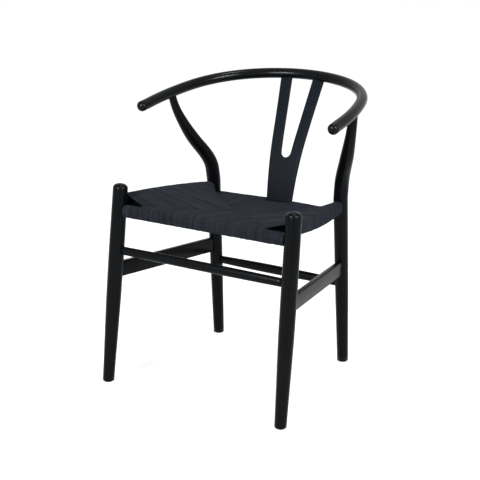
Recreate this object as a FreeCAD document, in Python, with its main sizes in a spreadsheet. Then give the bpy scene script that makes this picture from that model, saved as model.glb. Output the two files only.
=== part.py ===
"""Wishbone chair: two turned front legs, two sawn and rounded rear legs, one bent
rail that is back and armrests in one, a Y-shaped splat, and a woven cord seat
wound round four rails. Millimetres, +Z up, the sitter looks along -Y, and the
origin is on the floor below the middle of the chair's outline."""
import FreeCAD, Part
import Sketcher
import math
import os
import re
from FreeCAD import Placement, Rotation, Vector

doc = FreeCAD.newDocument("wishbone_chair")
sheet = doc.addObject("Spreadsheet::Sheet", "Sizes")

# Driving dimensions: name, value, what it measures
SIZES = [
    ("overall_height", 751, "floor to the top of the rail at the back"),
    ("overall_depth", 572, "front of the front feet to the back of the rail"),
    # Front legs
    ("front_foot_spread", 497, "between the centres of the front feet"),
    ("front_leg_height", 505, "floor to the crown of a front leg"),
    ("front_lean_back", 52, "how far the crown stands behind the foot"),
    ("front_lean_in", 8.5, "how far the crown stands inside the foot"),
    ("front_foot_radius", 14.3, "leg at the floor"),
    ("front_taper_height", 210, "foot to where the quick taper ends"),
    ("front_taper_radius", 18.6, "leg at the end of the quick taper"),
    ("front_belly_radius", 19.3, "leg at its thickest, just under the seat"),
    ("front_belly_height", 335, "foot to the thickest place"),
    ("front_top_radius", 18.4, "leg just below the crown"),
    ("crown_edge_radius", 9.5, "rounding between side and crown"),
    ("crown_rise", 2.2, "how far the crown domes above its rounded edge"),
    # Rear legs
    ("rear_foot_spread", 389.6, "between the centres of the rear feet"),
    ("rear_foot_set", 444.7, "rear feet behind the front feet"),
    ("rear_seat_spread", 378.4, "between the rear legs at the seat"),
    ("rear_seat_set", 399.3, "rear legs at the seat behind the front feet"),
    ("rear_seat_height", 456, "height where the rear leg starts to sweep"),
    ("rear_foot_radius", 14.6, "leg at the floor"),
    ("rear_taper_height", 200, "height where the quick taper ends"),
    ("rear_taper_radius", 17.2, "leg at the end of the quick taper"),
    ("rear_seat_radius", 18.6, "leg at the seat"),
    ("rear_top_width", 19.5, "leg under the rail, along the sweep"),
    ("rear_top_thickness", 22.5, "leg under the rail, square to the sweep"),
    ("rear_tenon_radius", 7, "round tenon up into the rail"),
    ("rear_tenon_reach", 5, "how far its tenon passes the rail's centre"),
    # Bent rail
    ("rail_radius", 13.5, "round section of the bent rail"),
    ("rail_tilt", 9.8, "degrees that the rail falls towards its ends"),
    ("rail_back_radius", 282, "bend across the back"),
    ("rail_corner_radius", 230, "bend at the two corners"),
    ("rail_side_radius", 607, "bend along the sides"),
    ("rail_back_turn", 25.6, "degrees of each half of the back bend"),
    ("rail_side_turn", 14.9, "degrees of each side bend"),
    ("rail_flare_radius", 708, "outward bend of the arm ends"),
    ("rail_arm_length", 48.8, "flared part of each arm"),
    ("rail_end_dome", 10.5, "length of the rounded ends of the arms"),
    ("rail_leg_turn", 82, "degrees round the bend where the rear leg joins"),
    # Splat
    ("splat_thickness", 8.5, "moulded plywood"),
    ("splat_foot_width", 73, "at the rear seat rail"),
    ("splat_waist_width", 96, "at the waist height"),
    ("splat_waist_height", 577, "height of the waist above the floor"),
    ("splat_head_width", 128, "where the arms reach the rail"),
    ("splat_arm_width", 31.5, "each arm of the Y"),
    ("splat_slot_radius", 15, "rounded bottom of the slot"),
    ("splat_slot_height", 529, "bottom of the slot above the floor"),
    ("splat_foot_lean", 7, "degrees that the foot leans back"),
    ("splat_bend_radius", 620, "bend between the foot and the arms"),
    ("splat_seat_in", 9, "depth of the splat in the seat rail's groove"),
    # Seat rails and the cord on them
    ("cord_layer", 3.6, "one layer of cord on a rail"),
    ("front_rail_height", 443.1, "centre of the front seat rail above the floor"),
    ("front_rail_rise", 28.3, "front seat rail, top to bottom"),
    ("front_rail_width", 21, "front seat rail, front to back"),
    ("rear_rail_height", 404.8, "centre of the rear seat rail above the floor"),
    ("rear_rail_rise", 25.5, "rear seat rail, top to bottom"),
    ("rear_rail_width", 24, "rear seat rail, front to back"),
    ("rear_rail_bow", 19, "how far the middle of the rear rail stands back"),
    ("side_rail_front_height", 464, "centre of a side rail at the front leg"),
    ("side_rail_rear_height", 436.5, "centre of a side rail at the rear leg"),
    ("side_rail_end_rise", 18, "side rail at its ends, top to bottom"),
    ("side_rail_crown", 5, "how far the top of a side rail bows up"),
    ("side_rail_belly", 10.5, "how far the bottom of a side rail bows down"),
    ("side_rail_width", 21, "side rail, across"),
    ("rail_edge_bevel", 4.5, "bevelled edges of the seat rails"),
    ("cord_edge_bevel", 6.6, "where the cord turns over those edges"),
    ("tenon_radius", 6.5, "round tenons of seat rails and cross bars"),
    ("tenon_length", 14, "tenon in the leg"),
    ("shoulder_depth", 3, "how far a rail or bar is let into the leg"),
    # Lower bars
    ("front_bar_height", 339.8, "centre of the front bar above the floor"),
    ("front_bar_rise", 21, "front bar at its ends, top to bottom"),
    ("front_bar_width", 15.5, "front bar at its ends, front to back"),
    ("front_bar_swell", 2.6, "how much thicker the front bar is in the middle"),
    ("rear_bar_height", 224.6, "centre of the rear bar above the floor"),
    ("rear_bar_rise", 20, "rear bar at its ends, top to bottom"),
    ("rear_bar_width", 15, "rear bar at its ends, front to back"),
    ("rear_bar_swell", 5, "how much thicker the rear bar is in the middle"),
    ("side_bar_front_height", 288, "centre of a side bar at the front leg"),
    ("side_bar_rear_height", 269.5, "centre of a side bar at the rear leg"),
    ("side_bar_rise", 39.4, "side bar, top to bottom"),
    ("side_bar_thickness", 15, "side bar, across"),
    ("side_bar_rounding", 4, "rounded edges of a side bar"),
    ("side_tenon_rise", 24, "tenon of a side bar, top to bottom"),
    ("side_tenon_thickness", 9, "tenon of a side bar, across"),
    # Woven seat
    ("seat_centre_height", 430, "top of the weave at the middle of the seat"),
    ("seat_centre_thickness", 15, "both layers of the weave at the middle"),
    ("seat_bridge_length", 33, "short ridge where the four fields meet"),
    ("corner_gap_length", 56, "open corner beside a front leg, along the front rail"),
    ("corner_gap_depth", 34, "how far the open corner reaches in under the weave"),
    # Small parts
    ("glide_radius", 11.5, "plastic disc under a foot"),
    ("glide_thickness", 2.5, "below the foot"),
    ("glide_edge_bevel", 0.8, "lower edge of the disc"),
    ("glide_pin_radius", 2, "pin of the glide, up in the foot"),
    ("glide_pin_length", 14, "pin of the glide, up in the foot"),
    ("tack_radius", 0.8, "shank of a cord tack"),
    ("tack_depth", 9, "how deep a tack stands in the rail"),
    ("tack_head_radius", 2.4, "head of a cord tack"),
    ("tack_head_thickness", 0.8, "head of a cord tack"),
    ("overrun", 20, "how far a cutting shape reaches past what it cuts"),
]
TACKS_PER_RAIL = 2


def put_in_sheet(row, name, value, note):
    sheet.set(f"A{row}", name)
    sheet.set(f"B{row}", str(value))
    sheet.set(f"C{row}", note)
    sheet.setAlias(f"B{row}", name)


for row, (name, value, note) in enumerate(SIZES, start=1):
    put_in_sheet(row, name, value, note)
doc.recompute()


def val(expression):
    """The value of an expression in the sheet's names, as a number."""
    return float(sheet.evalExpression(expression))


def derive(name, value):
    """Adds a size that follows from the others, so that features can be bound to it."""
    put_in_sheet(derive.row, name, round(value, 6), "follows from the sizes above")
    derive.row += 1
    sheet.recompute()
    return value


derive.row = len(SIZES) + 1


# Bodies, sketches and frames

def linked(expression):
    """Puts the sheet's name before each of its sizes, all of which have an underscore."""
    return re.sub(r"\b([a-z]+_[a-z_]+|overrun)\b", r"Sizes.\1", expression)


def bind(feature, **expressions):
    for prop, expression in expressions.items():
        feature.setExpression(prop, linked(expression))
    return feature


def new_body(name):
    body = doc.addObject("PartDesign::Body", name)
    body.Label = name
    return body


def new_sketch(body, name, role, offset="0"):
    plane = next(f for f in body.Origin.OriginFeatures if f.Role == role)
    sketch = body.newObject("Sketcher::SketchObject", name)
    sketch.AttachmentSupport = [(plane, "")]
    sketch.MapMode = "FlatFace"
    if offset != "0":
        sketch.setExpression("AttachmentOffset.Base.z", linked(offset))
    return sketch


def hold(sketch, geo, end, place):
    """Ties one vertex of a sketch to a place given as two expressions."""
    for kind, axis, expression in (("DistanceX", -2, place[0]), ("DistanceY", -1, place[1])):
        if expression == "0":
            sketch.addConstraint(Sketcher.Constraint("PointOnObject", geo, end, axis))
        else:
            index = sketch.addConstraint(
                Sketcher.Constraint(kind, -1, 1, geo, end, val(expression)))
            sketch.setExpression(f"Constraints[{index}]", linked(expression))


def outline(sketch, places, bows=None):
    """A closed outline through places given as expressions. bows gives, by the number
    of a side, how far an arc there stands out to the left of its chord."""
    bows = bows or {}
    corners = [Vector(val(x), val(y), 0) for x, y in places]
    for i, start in enumerate(corners):
        end = corners[(i + 1) % len(corners)]
        if i in bows:
            left = Vector(start.y - end.y, end.x - start.x, 0).normalize()
            middle = (start + end) * 0.5 + left * val(bows[i])
            sketch.addGeometry(Part.Arc(start, middle, end), False)
            first = sketch.getPoint(i, 1)
            forward = first.distanceToPoint(start) < first.distanceToPoint(end)
            hold(sketch, i, 1 if forward else 2, places[i])
            hold(sketch, i, 2 if forward else 1, places[(i + 1) % len(corners)])
        else:
            sketch.addGeometry(Part.LineSegment(start, end), False)
            hold(sketch, i, 1, places[i])
            hold(sketch, i, 2, places[(i + 1) % len(corners)])


def circle(sketch, radius):
    sketch.addGeometry(Part.Circle(Vector(0, 0, 0), Vector(0, 0, 1), val(radius)), False)
    sketch.addConstraint(Sketcher.Constraint("Coincident", 0, 3, -1, 1))
    index = sketch.addConstraint(Sketcher.Constraint("Radius", 0, val(radius)))
    sketch.setExpression(f"Constraints[{index}]", linked(radius))


def rectangle(sketch, width, rise):
    x, y = f"({width})/2", f"({rise})/2"
    outline(sketch, [(f"-{x}", f"-{y}"), (x, f"-{y}"), (x, y), (f"-{x}", y)])


def pad(body, name, sketch, length, symmetric=False):
    feature = body.newObject("PartDesign::Pad", name)
    feature.Profile = sketch
    bind(feature, Length=length)
    if symmetric:
        feature.SideType = "Symmetric"
    return feature


def revolve(body, name, sketch, angle="360"):
    feature = body.newObject("PartDesign::Revolution", name)
    feature.Profile = sketch
    feature.ReferenceAxis = (sketch, ["V_Axis"])
    feature.setExpression("Angle", linked(angle))
    feature.Midplane = angle != "360"
    return feature


def ease_edges(body, name, base, wanted, **size):
    """Rounds, with Radius, or bevels, with Size, the edges for which wanted(edge) is true."""
    doc.recompute()
    names = [f"Edge{i}" for i, edge in enumerate(base.Shape.Edges, 1) if wanted(edge)]
    feature = body.newObject("PartDesign::Fillet" if "Radius" in size else "PartDesign::Chamfer", name)
    feature.Base = (base, names)
    return bind(feature, **size)


def runs_along(direction):
    """Picks the long edges of a bar: those whose ends differ most along direction."""
    def wanted(edge):
        chord = edge.Vertexes[-1].Point - edge.Vertexes[0].Point
        return chord.Length > 0 and abs(chord.normalize().dot(direction)) > math.cos(math.radians(30))
    return wanted


def frame_along(start, end, up=Vector(0, 0, 1)):
    """A place at start whose Z runs to end and whose Y is as near up as it can be."""
    along = (end - start).normalize()
    side = up.cross(along).normalize()
    return Placement(start, Rotation(side, along.cross(side), along, "ZXY"))


def frame_across(place, along, up=Vector(0, 0, 1)):
    """A place whose Z runs along and whose X is as near up as it can be."""
    along = along / along.Length
    side = up.cross(along).normalize()
    return Placement(place, Rotation(along.cross(side), -side, along, "ZXY"))


def ellipse(name, place, across, wide):
    """An oval round a place: across is its radius along X and wide the one along Y."""
    section = bind(doc.addObject("Part::Ellipse", name), MajorRadius=across, MinorRadius=wide)
    section.Placement = place
    return section


def loft(name, sections):
    """A solid with straight walls from each section to the next."""
    feature = doc.addObject("Part::Loft", name)
    feature.Sections = sections
    feature.Solid, feature.Ruled = True, True
    return feature


def cut(name, base, tools):
    tool = tools[0]
    if len(tools) > 1:
        tool = doc.addObject("Part::MultiFuse", f"{name}_joints")
        tool.Shapes = tools
    feature = doc.addObject("Part::Cut", name)
    feature.Base = base
    feature.Tool = tool
    return feature


def fuse(name, shapes):
    feature = doc.addObject("Part::MultiFuse", name)
    feature.Shapes = shapes
    return feature


def cylinder(name, radius, length, place):
    feature = bind(doc.addObject("Part::Cylinder", name), Radius=radius, Height=length)
    feature.Placement = place
    return feature


# Where things stand: y runs from the front feet to the back of the rail

front_y = -val("overall_depth") / 2 + val("front_foot_radius")
SIDES = (("left", -1), ("right", 1))


def front_axis(side, height):
    """Centre of a front leg at a height above the floor."""
    share = height / val("front_leg_height")
    x = val("front_foot_spread") / 2 - share * val("front_lean_in")
    return Vector(side * x, front_y + share * val("front_lean_back"), height)


def rear_axis(side, height):
    """Centre of the straight lower part of a rear leg at a height above the floor."""
    share = height / val("rear_seat_height")
    foot_x, seat_x = val("rear_foot_spread") / 2, val("rear_seat_spread") / 2
    foot_y, seat_y = val("rear_foot_set"), val("rear_seat_set")
    return Vector(side * (foot_x + (seat_x - foot_x) * share),
                  front_y + foot_y + (seat_y - foot_y) * share, height)


# Bent rail: its bends in its own tilted plane, from the middle of the back outwards

turns = [0, val("rail_back_turn"), 90 - val("rail_side_turn"), 90]
bends = [val("rail_back_radius"), val("rail_corner_radius"), val("rail_side_radius")]
bend_centres = [Vector(0, -bends[0], 0)]
for i in (1, 2):
    turn = math.radians(turns[i])
    step = bends[i - 1] - bends[i]
    bend_centres.append(bend_centres[-1] + Vector(step * math.sin(turn), step * math.cos(turn), 0))
rail_back = Vector(0, val("overall_depth/2 - rail_radius"), val("overall_height - rail_radius"))
rail_place = Placement(rail_back, Rotation(Vector(1, 0, 0), val("rail_tilt")))
flare = val("rail_flare_radius")
flare_centre = bend_centres[2] + Vector(bends[2] + flare, 0, 0)


def rail_station(turn, past=0.0):
    """A point of the rail's centre line in its own plane, and the way it runs there:
    turned so far round the bends, and then so far past them on the flared arm."""
    if past:
        swing = past / flare
        return (flare_centre - Vector(flare * math.cos(swing), flare * math.sin(swing), 0),
                Vector(math.sin(swing), -math.cos(swing), 0))
    i = max(k for k in range(3) if turns[k] <= turn)
    at = math.radians(turn)
    return (bend_centres[i] + Vector(bends[i] * math.sin(at), bends[i] * math.cos(at), 0),
            Vector(math.cos(at), -math.sin(at), 0))


def rail_point(side, turn):
    """Centre of the rail where its tangent has turned by so many degrees."""
    flat = rail_station(turn)[0]
    return rail_place.multVec(Vector(side * flat.x, flat.y, 0))


# Degrees round the bends where the rail has a section; close together at its joints
RAIL_TURNS = (0, 6, 13.5, 20, 27, 34, 41, 48, 55, 62, 69, 75, 78, 81.2, 82.8, 90)
DOME_LENGTH_SHARES = (0, 0.55, 0.87, 1)
DOME_RADIUS_SHARES = (1, 0.84, 0.5, 0.15)


def make_rail():
    half = [(rail_station(turn), 1) for turn in RAIL_TURNS]
    for length, radius in zip(DOME_LENGTH_SHARES, DOME_RADIUS_SHARES):
        past = val(f"rail_arm_length - rail_end_dome*(1 - {length})")
        half.append((rail_station(90, past), radius))
    stations = [(Vector(-at.x, at.y, 0), Vector(way.x, -way.y, 0), radius)
                for (at, way), radius in reversed(half[1:])]
    stations += [(at, way, radius) for (at, way), radius in half]
    sections = []
    for i, (at, way, radius) in enumerate(stations):
        place = rail_place.multiply(frame_across(at, way))
        radius = f"rail_radius*{radius}"
        sections.append(ellipse(f"rail_section_{i}", place, radius, radius))
    return loft("rail_bend", sections)


rail_blank = make_rail()


# Front legs: turned, leaning, trimmed level with the floor above the glide

def floor_box(name, foot):
    """Takes off what a leaning leg has below the top of its glide."""
    box = bind(doc.addObject("Part::Box", name), Length="4*rear_foot_radius",
               Width="4*rear_foot_radius", Height="glide_thickness + overrun")
    box.Placement.Base = foot + Vector(
        val("-2*rear_foot_radius"), val("-2*rear_foot_radius"), val("-overrun"))
    return box


derive("front_axis_length", math.hypot(val("front_leg_height"), val("front_lean_back"),
                                       val("front_lean_in")))


CROWN_TURNS = (0, 45, 90)


def make_front_leg(side_name, side):
    body = new_body(f"front_turning_{side_name}")
    profile = new_sketch(body, f"front_profile_{side_name}", "XZ_Plane")
    crown_foot = "front_axis_length - crown_rise - crown_edge_radius"
    crown = [(f"front_top_radius - crown_edge_radius*(1 - cos({turn}))",
              f"{crown_foot} + crown_edge_radius*sin({turn})") for turn in CROWN_TURNS]
    outline(profile, [
        ("0", "-glide_thickness"),
        ("front_foot_radius", "-glide_thickness"),
        ("front_taper_radius", "front_taper_height"),
        ("front_belly_radius", "front_belly_height"),
        *crown,
        ("(front_top_radius - crown_edge_radius)/2", "front_axis_length - crown_rise/4"),
        ("0", "front_axis_length"),
    ])
    revolve(body, f"front_turned_{side_name}", profile)
    body.Placement = frame_along(front_axis(side, 0), front_axis(side, val("front_leg_height")),
                                 Vector(0, 1, 0))
    floor = floor_box(f"front_floor_{side_name}", front_axis(side, 0))
    return cut(f"front_blank_{side_name}", body, [floor])


front_blanks = {side: make_front_leg(name, side) for name, side in SIDES}


# Rear legs: sawn from a plank and rounded; below the seat they are straight, and
# above it they sweep outwards and forwards up to the rail

# How far the rear leg has swept, and how far it has slimmed, at even steps of height
SWEEP_SHARES = (0, 0.022, 0.055, 0.132, 0.249, 0.388, 0.517, 0.63, 0.731, 0.823, 0.9, 0.957, 1)
SLIM_SHARES = (0, 0, 0.02, 0.06, 0.12, 0.185, 0.24, 0.395, 0.57, 0.74, 0.865, 0.95, 1)


def cone(name, start, end, low_radius, high_radius):
    derive(f"{name}_length", (end - start).Length)
    feature = bind(doc.addObject("Part::Cone", name), Radius1=low_radius, Radius2=high_radius,
                   Height=f"{name}_length")
    feature.Placement = frame_along(start, end, Vector(0, 1, 0))
    return feature


def make_rear_leg(side_name, side):
    """Two cones up to the seat, and from there a loft of ovals that follows the sweep."""
    top = rail_point(side, val("rail_leg_turn"))
    seat = rear_axis(side, val("rear_seat_height"))
    knee = rear_axis(side, val("rear_taper_height"))
    foot = rear_axis(side, -val("glide_thickness"))
    steps = len(SWEEP_SHARES) - 1
    centres = [Vector(seat.x + (top.x - seat.x) * share, seat.y + (top.y - seat.y) * share,
                      seat.z + (top.z - seat.z) * i / steps)
               for i, share in enumerate(SWEEP_SHARES)]
    outwards = Vector(top.x - seat.x, top.y - seat.y, 0)
    sections = []
    for i, share in enumerate(SLIM_SHARES):
        way = centres[min(i + 1, steps)] - centres[i - 1] if i else seat - foot
        thick, wide = (f"rear_seat_radius - (rear_seat_radius - {size}/2)*{share}"
                       for size in ("rear_top_thickness", "rear_top_width"))
        place = frame_across(centres[i], way, way.cross(outwards))
        sections.append(ellipse(f"rear_section_{side_name}_{i}", place, thick, wide))
    sawn = fuse(f"rear_sawn_{side_name}", [
        cone(f"rear_lower_{side_name}", foot, knee, "rear_foot_radius", "rear_taper_radius"),
        cone(f"rear_upper_{side_name}", knee, seat, "rear_taper_radius", "rear_seat_radius"),
        loft(f"rear_swept_{side_name}", sections)])
    level = floor_box(f"rear_floor_{side_name}", rear_axis(side, 0))
    trimmed = cut(f"rear_trimmed_{side_name}", sawn, [level, rail_blank])
    root = top + (centres[-2] - top).normalize() * val("2*rail_radius")
    tenon = cylinder(f"rear_tenon_{side_name}", "rear_tenon_radius",
                     "2*rail_radius + rear_tenon_reach", frame_along(root, top, Vector(0, 1, 0)))
    return fuse(f"rear_blank_{side_name}", [trimmed, tenon]), tenon


rear_blanks, rear_tenons = {}, {}
for name, side in SIDES:
    rear_blanks[side], rear_tenons[side] = make_rear_leg(name, side)


# Bars and seat rails: each is let a little into the legs, with a tenon further in

OVAL_STATIONS = 5


def make_oval_bar(name, ends, leg_radius, size):
    """An oval bar that swells towards its middle, with shoulders and round tenons."""
    start, end = ends
    way = (end - start).normalize()
    derive(f"{name}_span", (end - start).Length)
    shoulder, length = val(f"{leg_radius} - shoulder_depth"), val(f"{name}_span")
    sections = []
    for i in range(OVAL_STATIONS):
        share = i / (OVAL_STATIONS - 1)
        at = start + way * (shoulder + (length - 2 * shoulder) * share)
        swell = f"{size}_swell*{4 * share * (1 - share)}"
        sections.append(ellipse(f"{name}_section_{i}", frame_across(at, way),
                                f"({size}_rise + {swell})/2", f"({size}_width + {swell})/2"))
    tenon_start = f"({leg_radius} - shoulder_depth - tenon_length)"
    tenon = cylinder(f"{name}_tenon", "tenon_radius", f"{name}_span - 2*{tenon_start}",
                     frame_along(start + way * val(tenon_start), end))
    return fuse(name, [loft(f"{name}_oval", sections), tenon])


def make_bar(name, ends, leg_radius, draw_section, draw_tenon, **easing):
    """A straight bar between two leg axes, with shoulders and tenons."""
    start, end = ends
    derive(f"{name}_span", (end - start).Length)
    body = new_body(name)
    shoulder = f"({leg_radius} - shoulder_depth)"
    tenon_start = f"({leg_radius} - shoulder_depth - tenon_length)"
    section = new_sketch(body, f"{name}_section", "XY_Plane", shoulder)
    draw_section(section)
    length = pad(body, f"{name}_length", section, f"{name}_span - 2*{shoulder}")
    ease_edges(body, f"{name}_edges", length, runs_along(Vector(0, 0, 1)), **easing)
    tenon = new_sketch(body, f"{name}_tenon", "XY_Plane", tenon_start)
    draw_tenon(tenon)
    pad(body, f"{name}_tenons", tenon, f"{name}_span - 2*{tenon_start}")
    body.Placement = frame_along(start, end)
    return body


def round_tenon(sketch):
    circle(sketch, "tenon_radius")


def flat_tenon(sketch):
    rectangle(sketch, "side_tenon_thickness", "side_tenon_rise")


front_bar = make_oval_bar(
    "stretcher_front", [front_axis(s, val("front_bar_height")) for s in (-1, 1)],
    "front_belly_radius", "front_bar")
rear_bar = make_oval_bar(
    "stretcher_rear", [rear_axis(s, val("rear_bar_height")) for s in (-1, 1)],
    "rear_foot_radius", "rear_bar")
side_bars = {
    side: make_bar(
        f"side_stretcher_{name}",
        [front_axis(side, val("side_bar_front_height")), rear_axis(side, val("side_bar_rear_height"))],
        "rear_foot_radius", lambda s: rectangle(s, "side_bar_thickness", "side_bar_rise"),
        flat_tenon, Radius="side_bar_rounding")
    for name, side in SIDES}
front_rail = make_bar(
    "seat_rail_front", [front_axis(s, val("front_rail_height")) for s in (-1, 1)],
    "front_top_radius", lambda s: rectangle(s, "front_rail_width", "front_rail_rise"),
    round_tenon, Size="rail_edge_bevel")


# Side seat rails: a board sawn to a crowned top and a bellied underside

def side_rail_ends(side):
    return (front_axis(side, val("side_rail_front_height")),
            rear_axis(side, val("side_rail_rear_height")))


def side_rail_places(grown, inset):
    """The sawn outline, seen from the side; grown adds the cord's layer all round."""
    rise = f"(side_rail_end_rise/2 + {grown})"
    far = f"side_rail_run - {inset}"
    return [(inset, f"-{rise}"), (far, f"side_rail_fall - {rise}"),
            (far, f"side_rail_fall + {rise}"), (inset, rise)]


SIDE_RAIL_BOWS = {0: "-side_rail_belly", 2: "-side_rail_crown"}


def side_rail_frame(side):
    """Its X runs level along the rail and its Z up, from the front leg's centre."""
    start, end = side_rail_ends(side)
    along = Vector(end.x - start.x, end.y - start.y, 0).normalize()
    return Placement(start, Rotation(along, Vector(0, 0, 1).cross(along), Vector(0, 0, 1), "ZXY"))


start, end = side_rail_ends(1)
derive("side_rail_run", math.hypot(end.x - start.x, end.y - start.y))
derive("side_rail_fall", end.z - start.z)


def make_side_rail(side_name, side):
    name = f"seat_rail_{side_name}"
    body = new_body(f"{name}_board")
    board = new_sketch(body, f"{name}_board_outline", "XZ_Plane")
    inset = "(front_top_radius - shoulder_depth)"
    outline(board, side_rail_places("0", inset), SIDE_RAIL_BOWS)
    thick = pad(body, f"{name}_board_pad", board, "side_rail_width", symmetric=True)
    body.Tip = ease_edges(body, f"{name}_board_edges", thick, runs_along(Vector(1, 0, 0)),
                          Size="rail_edge_bevel")
    body.Placement = side_rail_frame(side)
    start, end = side_rail_ends(side)
    along = (end - start).normalize()
    inset_length = val("front_top_radius - shoulder_depth - tenon_length")
    tenon = cylinder(f"{name}_tenon", "tenon_radius", "side_rail_tenon_span",
                     frame_along(start + along * inset_length, end))
    return fuse(name, [body, tenon])


derive("side_rail_tenon_span", (end - start).Length
       - val("2*(front_top_radius - shoulder_depth - tenon_length)"))
side_rails = {side: make_side_rail(name, side) for name, side in SIDES}


# Rear seat rail: bowed backwards, with the splat's groove in its top

rear_ends = [rear_axis(s, val("rear_rail_height")) for s in (-1, 1)]
rear_half = rear_ends[1].x
rear_bow = val("rear_rail_bow")
rear_bend = derive("rear_rail_bend", (rear_half ** 2 + rear_bow ** 2) / (2 * rear_bow))
rear_middle = Vector(0, rear_ends[1].y + rear_bow, val("rear_rail_height"))
rear_turn = math.degrees(math.asin(rear_half / rear_bend))
shoulder_turn = math.degrees(val("rear_seat_radius - shoulder_depth") / rear_bend)
derive("rear_rail_turn", 2 * (rear_turn - shoulder_turn))


def make_rear_rail():
    body = new_body("seat_rail_rear_bow")
    section = new_sketch(body, "seat_rail_rear_section", "YZ_Plane")
    near, far = "rear_rail_bend - rear_rail_width/2", "rear_rail_bend + rear_rail_width/2"
    low, high = "-rear_rail_rise/2", "rear_rail_rise/2"
    outline(section, [(near, low), (far, low), (far, high), (near, high)])
    bow = revolve(body, "seat_rail_rear_bend", section, "rear_rail_turn")
    body.Tip = ease_edges(body, "seat_rail_rear_edges", bow,
                          lambda edge: edge.Length > val("2*rear_rail_width"),
                          Size="rail_edge_bevel")
    body.Placement.Base = rear_middle - Vector(0, rear_bend, 0)
    tenons = []
    for name, side in SIDES:
        turn = math.radians(rear_turn)
        inwards = Vector(-side * math.cos(turn), math.sin(turn), 0)
        inner = rear_ends[(side + 1) // 2] + inwards * val("2*rear_seat_radius")
        tip = rear_ends[(side + 1) // 2] + inwards * val("rear_seat_radius - shoulder_depth - tenon_length")
        tenons.append(cylinder(f"seat_rail_rear_tenon_{name}", "tenon_radius",
                               "rear_seat_radius + shoulder_depth + tenon_length",
                               frame_along(tip, inner)))
    return fuse("seat_rail_rear_blank", [body] + tenons)


rear_rail_blank = make_rear_rail()


# Splat: a Y cut from curved plywood; its foot stands in the rear rail's groove and
# its arms go up into the bent rail

arm_middle = val("(splat_head_width - splat_arm_width)/2")
head_turn = math.degrees(math.asin(arm_middle / bends[0]))
head = rail_point(1, head_turn)
foot = Vector(0, rear_middle.y, rear_middle.z + val("rear_rail_rise/2 - splat_seat_in"))
foot_lean = math.radians(val("splat_foot_lean"))
bend = val("splat_bend_radius")
bend_y = foot.y + bend * math.cos(foot_lean)
bend_z = foot.z - bend * math.sin(foot_lean)
head_lean = math.atan2(head.y - bend_y, head.z - bend_z) + math.asin(
    bend / math.hypot(head.y - bend_y, head.z - bend_z))


def make_splat():
    derive("splat_foot_height", foot.z)
    derive("splat_head_height", head.z)
    y_shape = new_body("splat_outline")
    front_view = new_sketch(y_shape, "splat_front_view", "XZ_Plane")
    low, high = "splat_foot_height", "splat_head_height"
    slot_centre = "splat_slot_height + splat_slot_radius"
    inner = "(splat_head_width/2 - splat_arm_width)"
    flare = "(splat_waist_width - splat_foot_width)/2"
    spread = "(splat_head_width - splat_foot_width)/2"
    share = f"(splat_waist_height - {low})/({high} - {low})"
    bow = f"({spread}*{share} - {flare})"
    outline(front_view, [
        ("splat_foot_width/2", low), ("splat_head_width/2", high), (inner, high),
        ("splat_slot_radius", slot_centre), ("-splat_slot_radius", slot_centre),
        (f"-{inner}", high), ("-splat_head_width/2", high), ("-splat_foot_width/2", low),
    ], {0: bow, 3: "splat_slot_radius", 6: bow})
    pad(y_shape, "splat_front_pad", front_view, "overall_depth", symmetric=True)

    sheet_body = new_body("splat_plywood")
    side_view = new_sketch(sheet_body, "splat_side_view", "YZ_Plane")
    half = val("splat_thickness/2")
    joint = Vector(bend_y - bend * math.cos(head_lean), bend_z + bend * math.sin(head_lean), 0)
    middle_lean = (foot_lean + head_lean) / 2
    over = val("overrun")
    lean_up = Vector(math.sin(head_lean), math.cos(head_lean), 0)
    lean_down = Vector(math.sin(foot_lean), math.cos(foot_lean), 0)

    def at(lean, reach):
        return Vector(bend_y - (bend + reach) * math.cos(lean),
                      bend_z + (bend + reach) * math.sin(lean), 0)

    top = lean_up * ((head.z - joint.y) / lean_up.y + over)
    bottom = lean_down * over
    side_view.addGeometry([
        Part.LineSegment(at(foot_lean, half) - bottom, at(foot_lean, half)),
        Part.Arc(at(foot_lean, half), at(middle_lean, half), at(head_lean, half)),
        Part.LineSegment(at(head_lean, half), at(head_lean, half) + top),
        Part.LineSegment(at(head_lean, half) + top, at(head_lean, -half) + top),
        Part.LineSegment(at(head_lean, -half) + top, at(head_lean, -half)),
        Part.Arc(at(head_lean, -half), at(middle_lean, -half), at(foot_lean, -half)),
        Part.LineSegment(at(foot_lean, -half), at(foot_lean, -half) - bottom),
        Part.LineSegment(at(foot_lean, -half) - bottom, at(foot_lean, half) - bottom),
    ], False)
    pad(sheet_body, "splat_side_pad", side_view, "2*splat_head_width", symmetric=True)
    common = doc.addObject("Part::MultiCommon", "back_splat")
    common.Shapes = [y_shape, sheet_body]
    return common


splat = make_splat()


# Glides: a disc with a pin up into the foot, standing upright whatever the leg's lean

def make_glide(name, at):
    body = new_body(name)
    profile = new_sketch(body, f"{name}_profile", "XZ_Plane")
    outline(profile, [
        ("0", "0"), ("glide_radius - glide_edge_bevel", "0"),
        ("glide_radius", "glide_edge_bevel"), ("glide_radius", "glide_thickness"),
        ("glide_pin_radius", "glide_thickness"),
        ("glide_pin_radius", "glide_thickness + glide_pin_length"),
        ("0", "glide_thickness + glide_pin_length"),
    ])
    revolve(body, f"{name}_turned", profile)
    body.Placement.Base = Vector(at.x, at.y, 0)
    return body


front_glides, rear_glides = {}, {}
for name, side in SIDES:
    front_glides[side] = make_glide(f"glide_front_{name}", front_axis(side, 0))
    rear_glides[side] = make_glide(f"glide_rear_{name}", rear_axis(side, 0))


# Cord tacks: in the inner faces of the side rails, where the cord starts and ends

def tack(place):
    shank = Part.makeCylinder(val("tack_radius"), val("tack_depth"))
    cap = Part.makeCylinder(val("tack_head_radius"), val("tack_head_thickness"),
                            Vector(0, 0, val("-tack_head_thickness")))
    one = shank.fuse(cap)
    one.Placement = place
    return one


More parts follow.
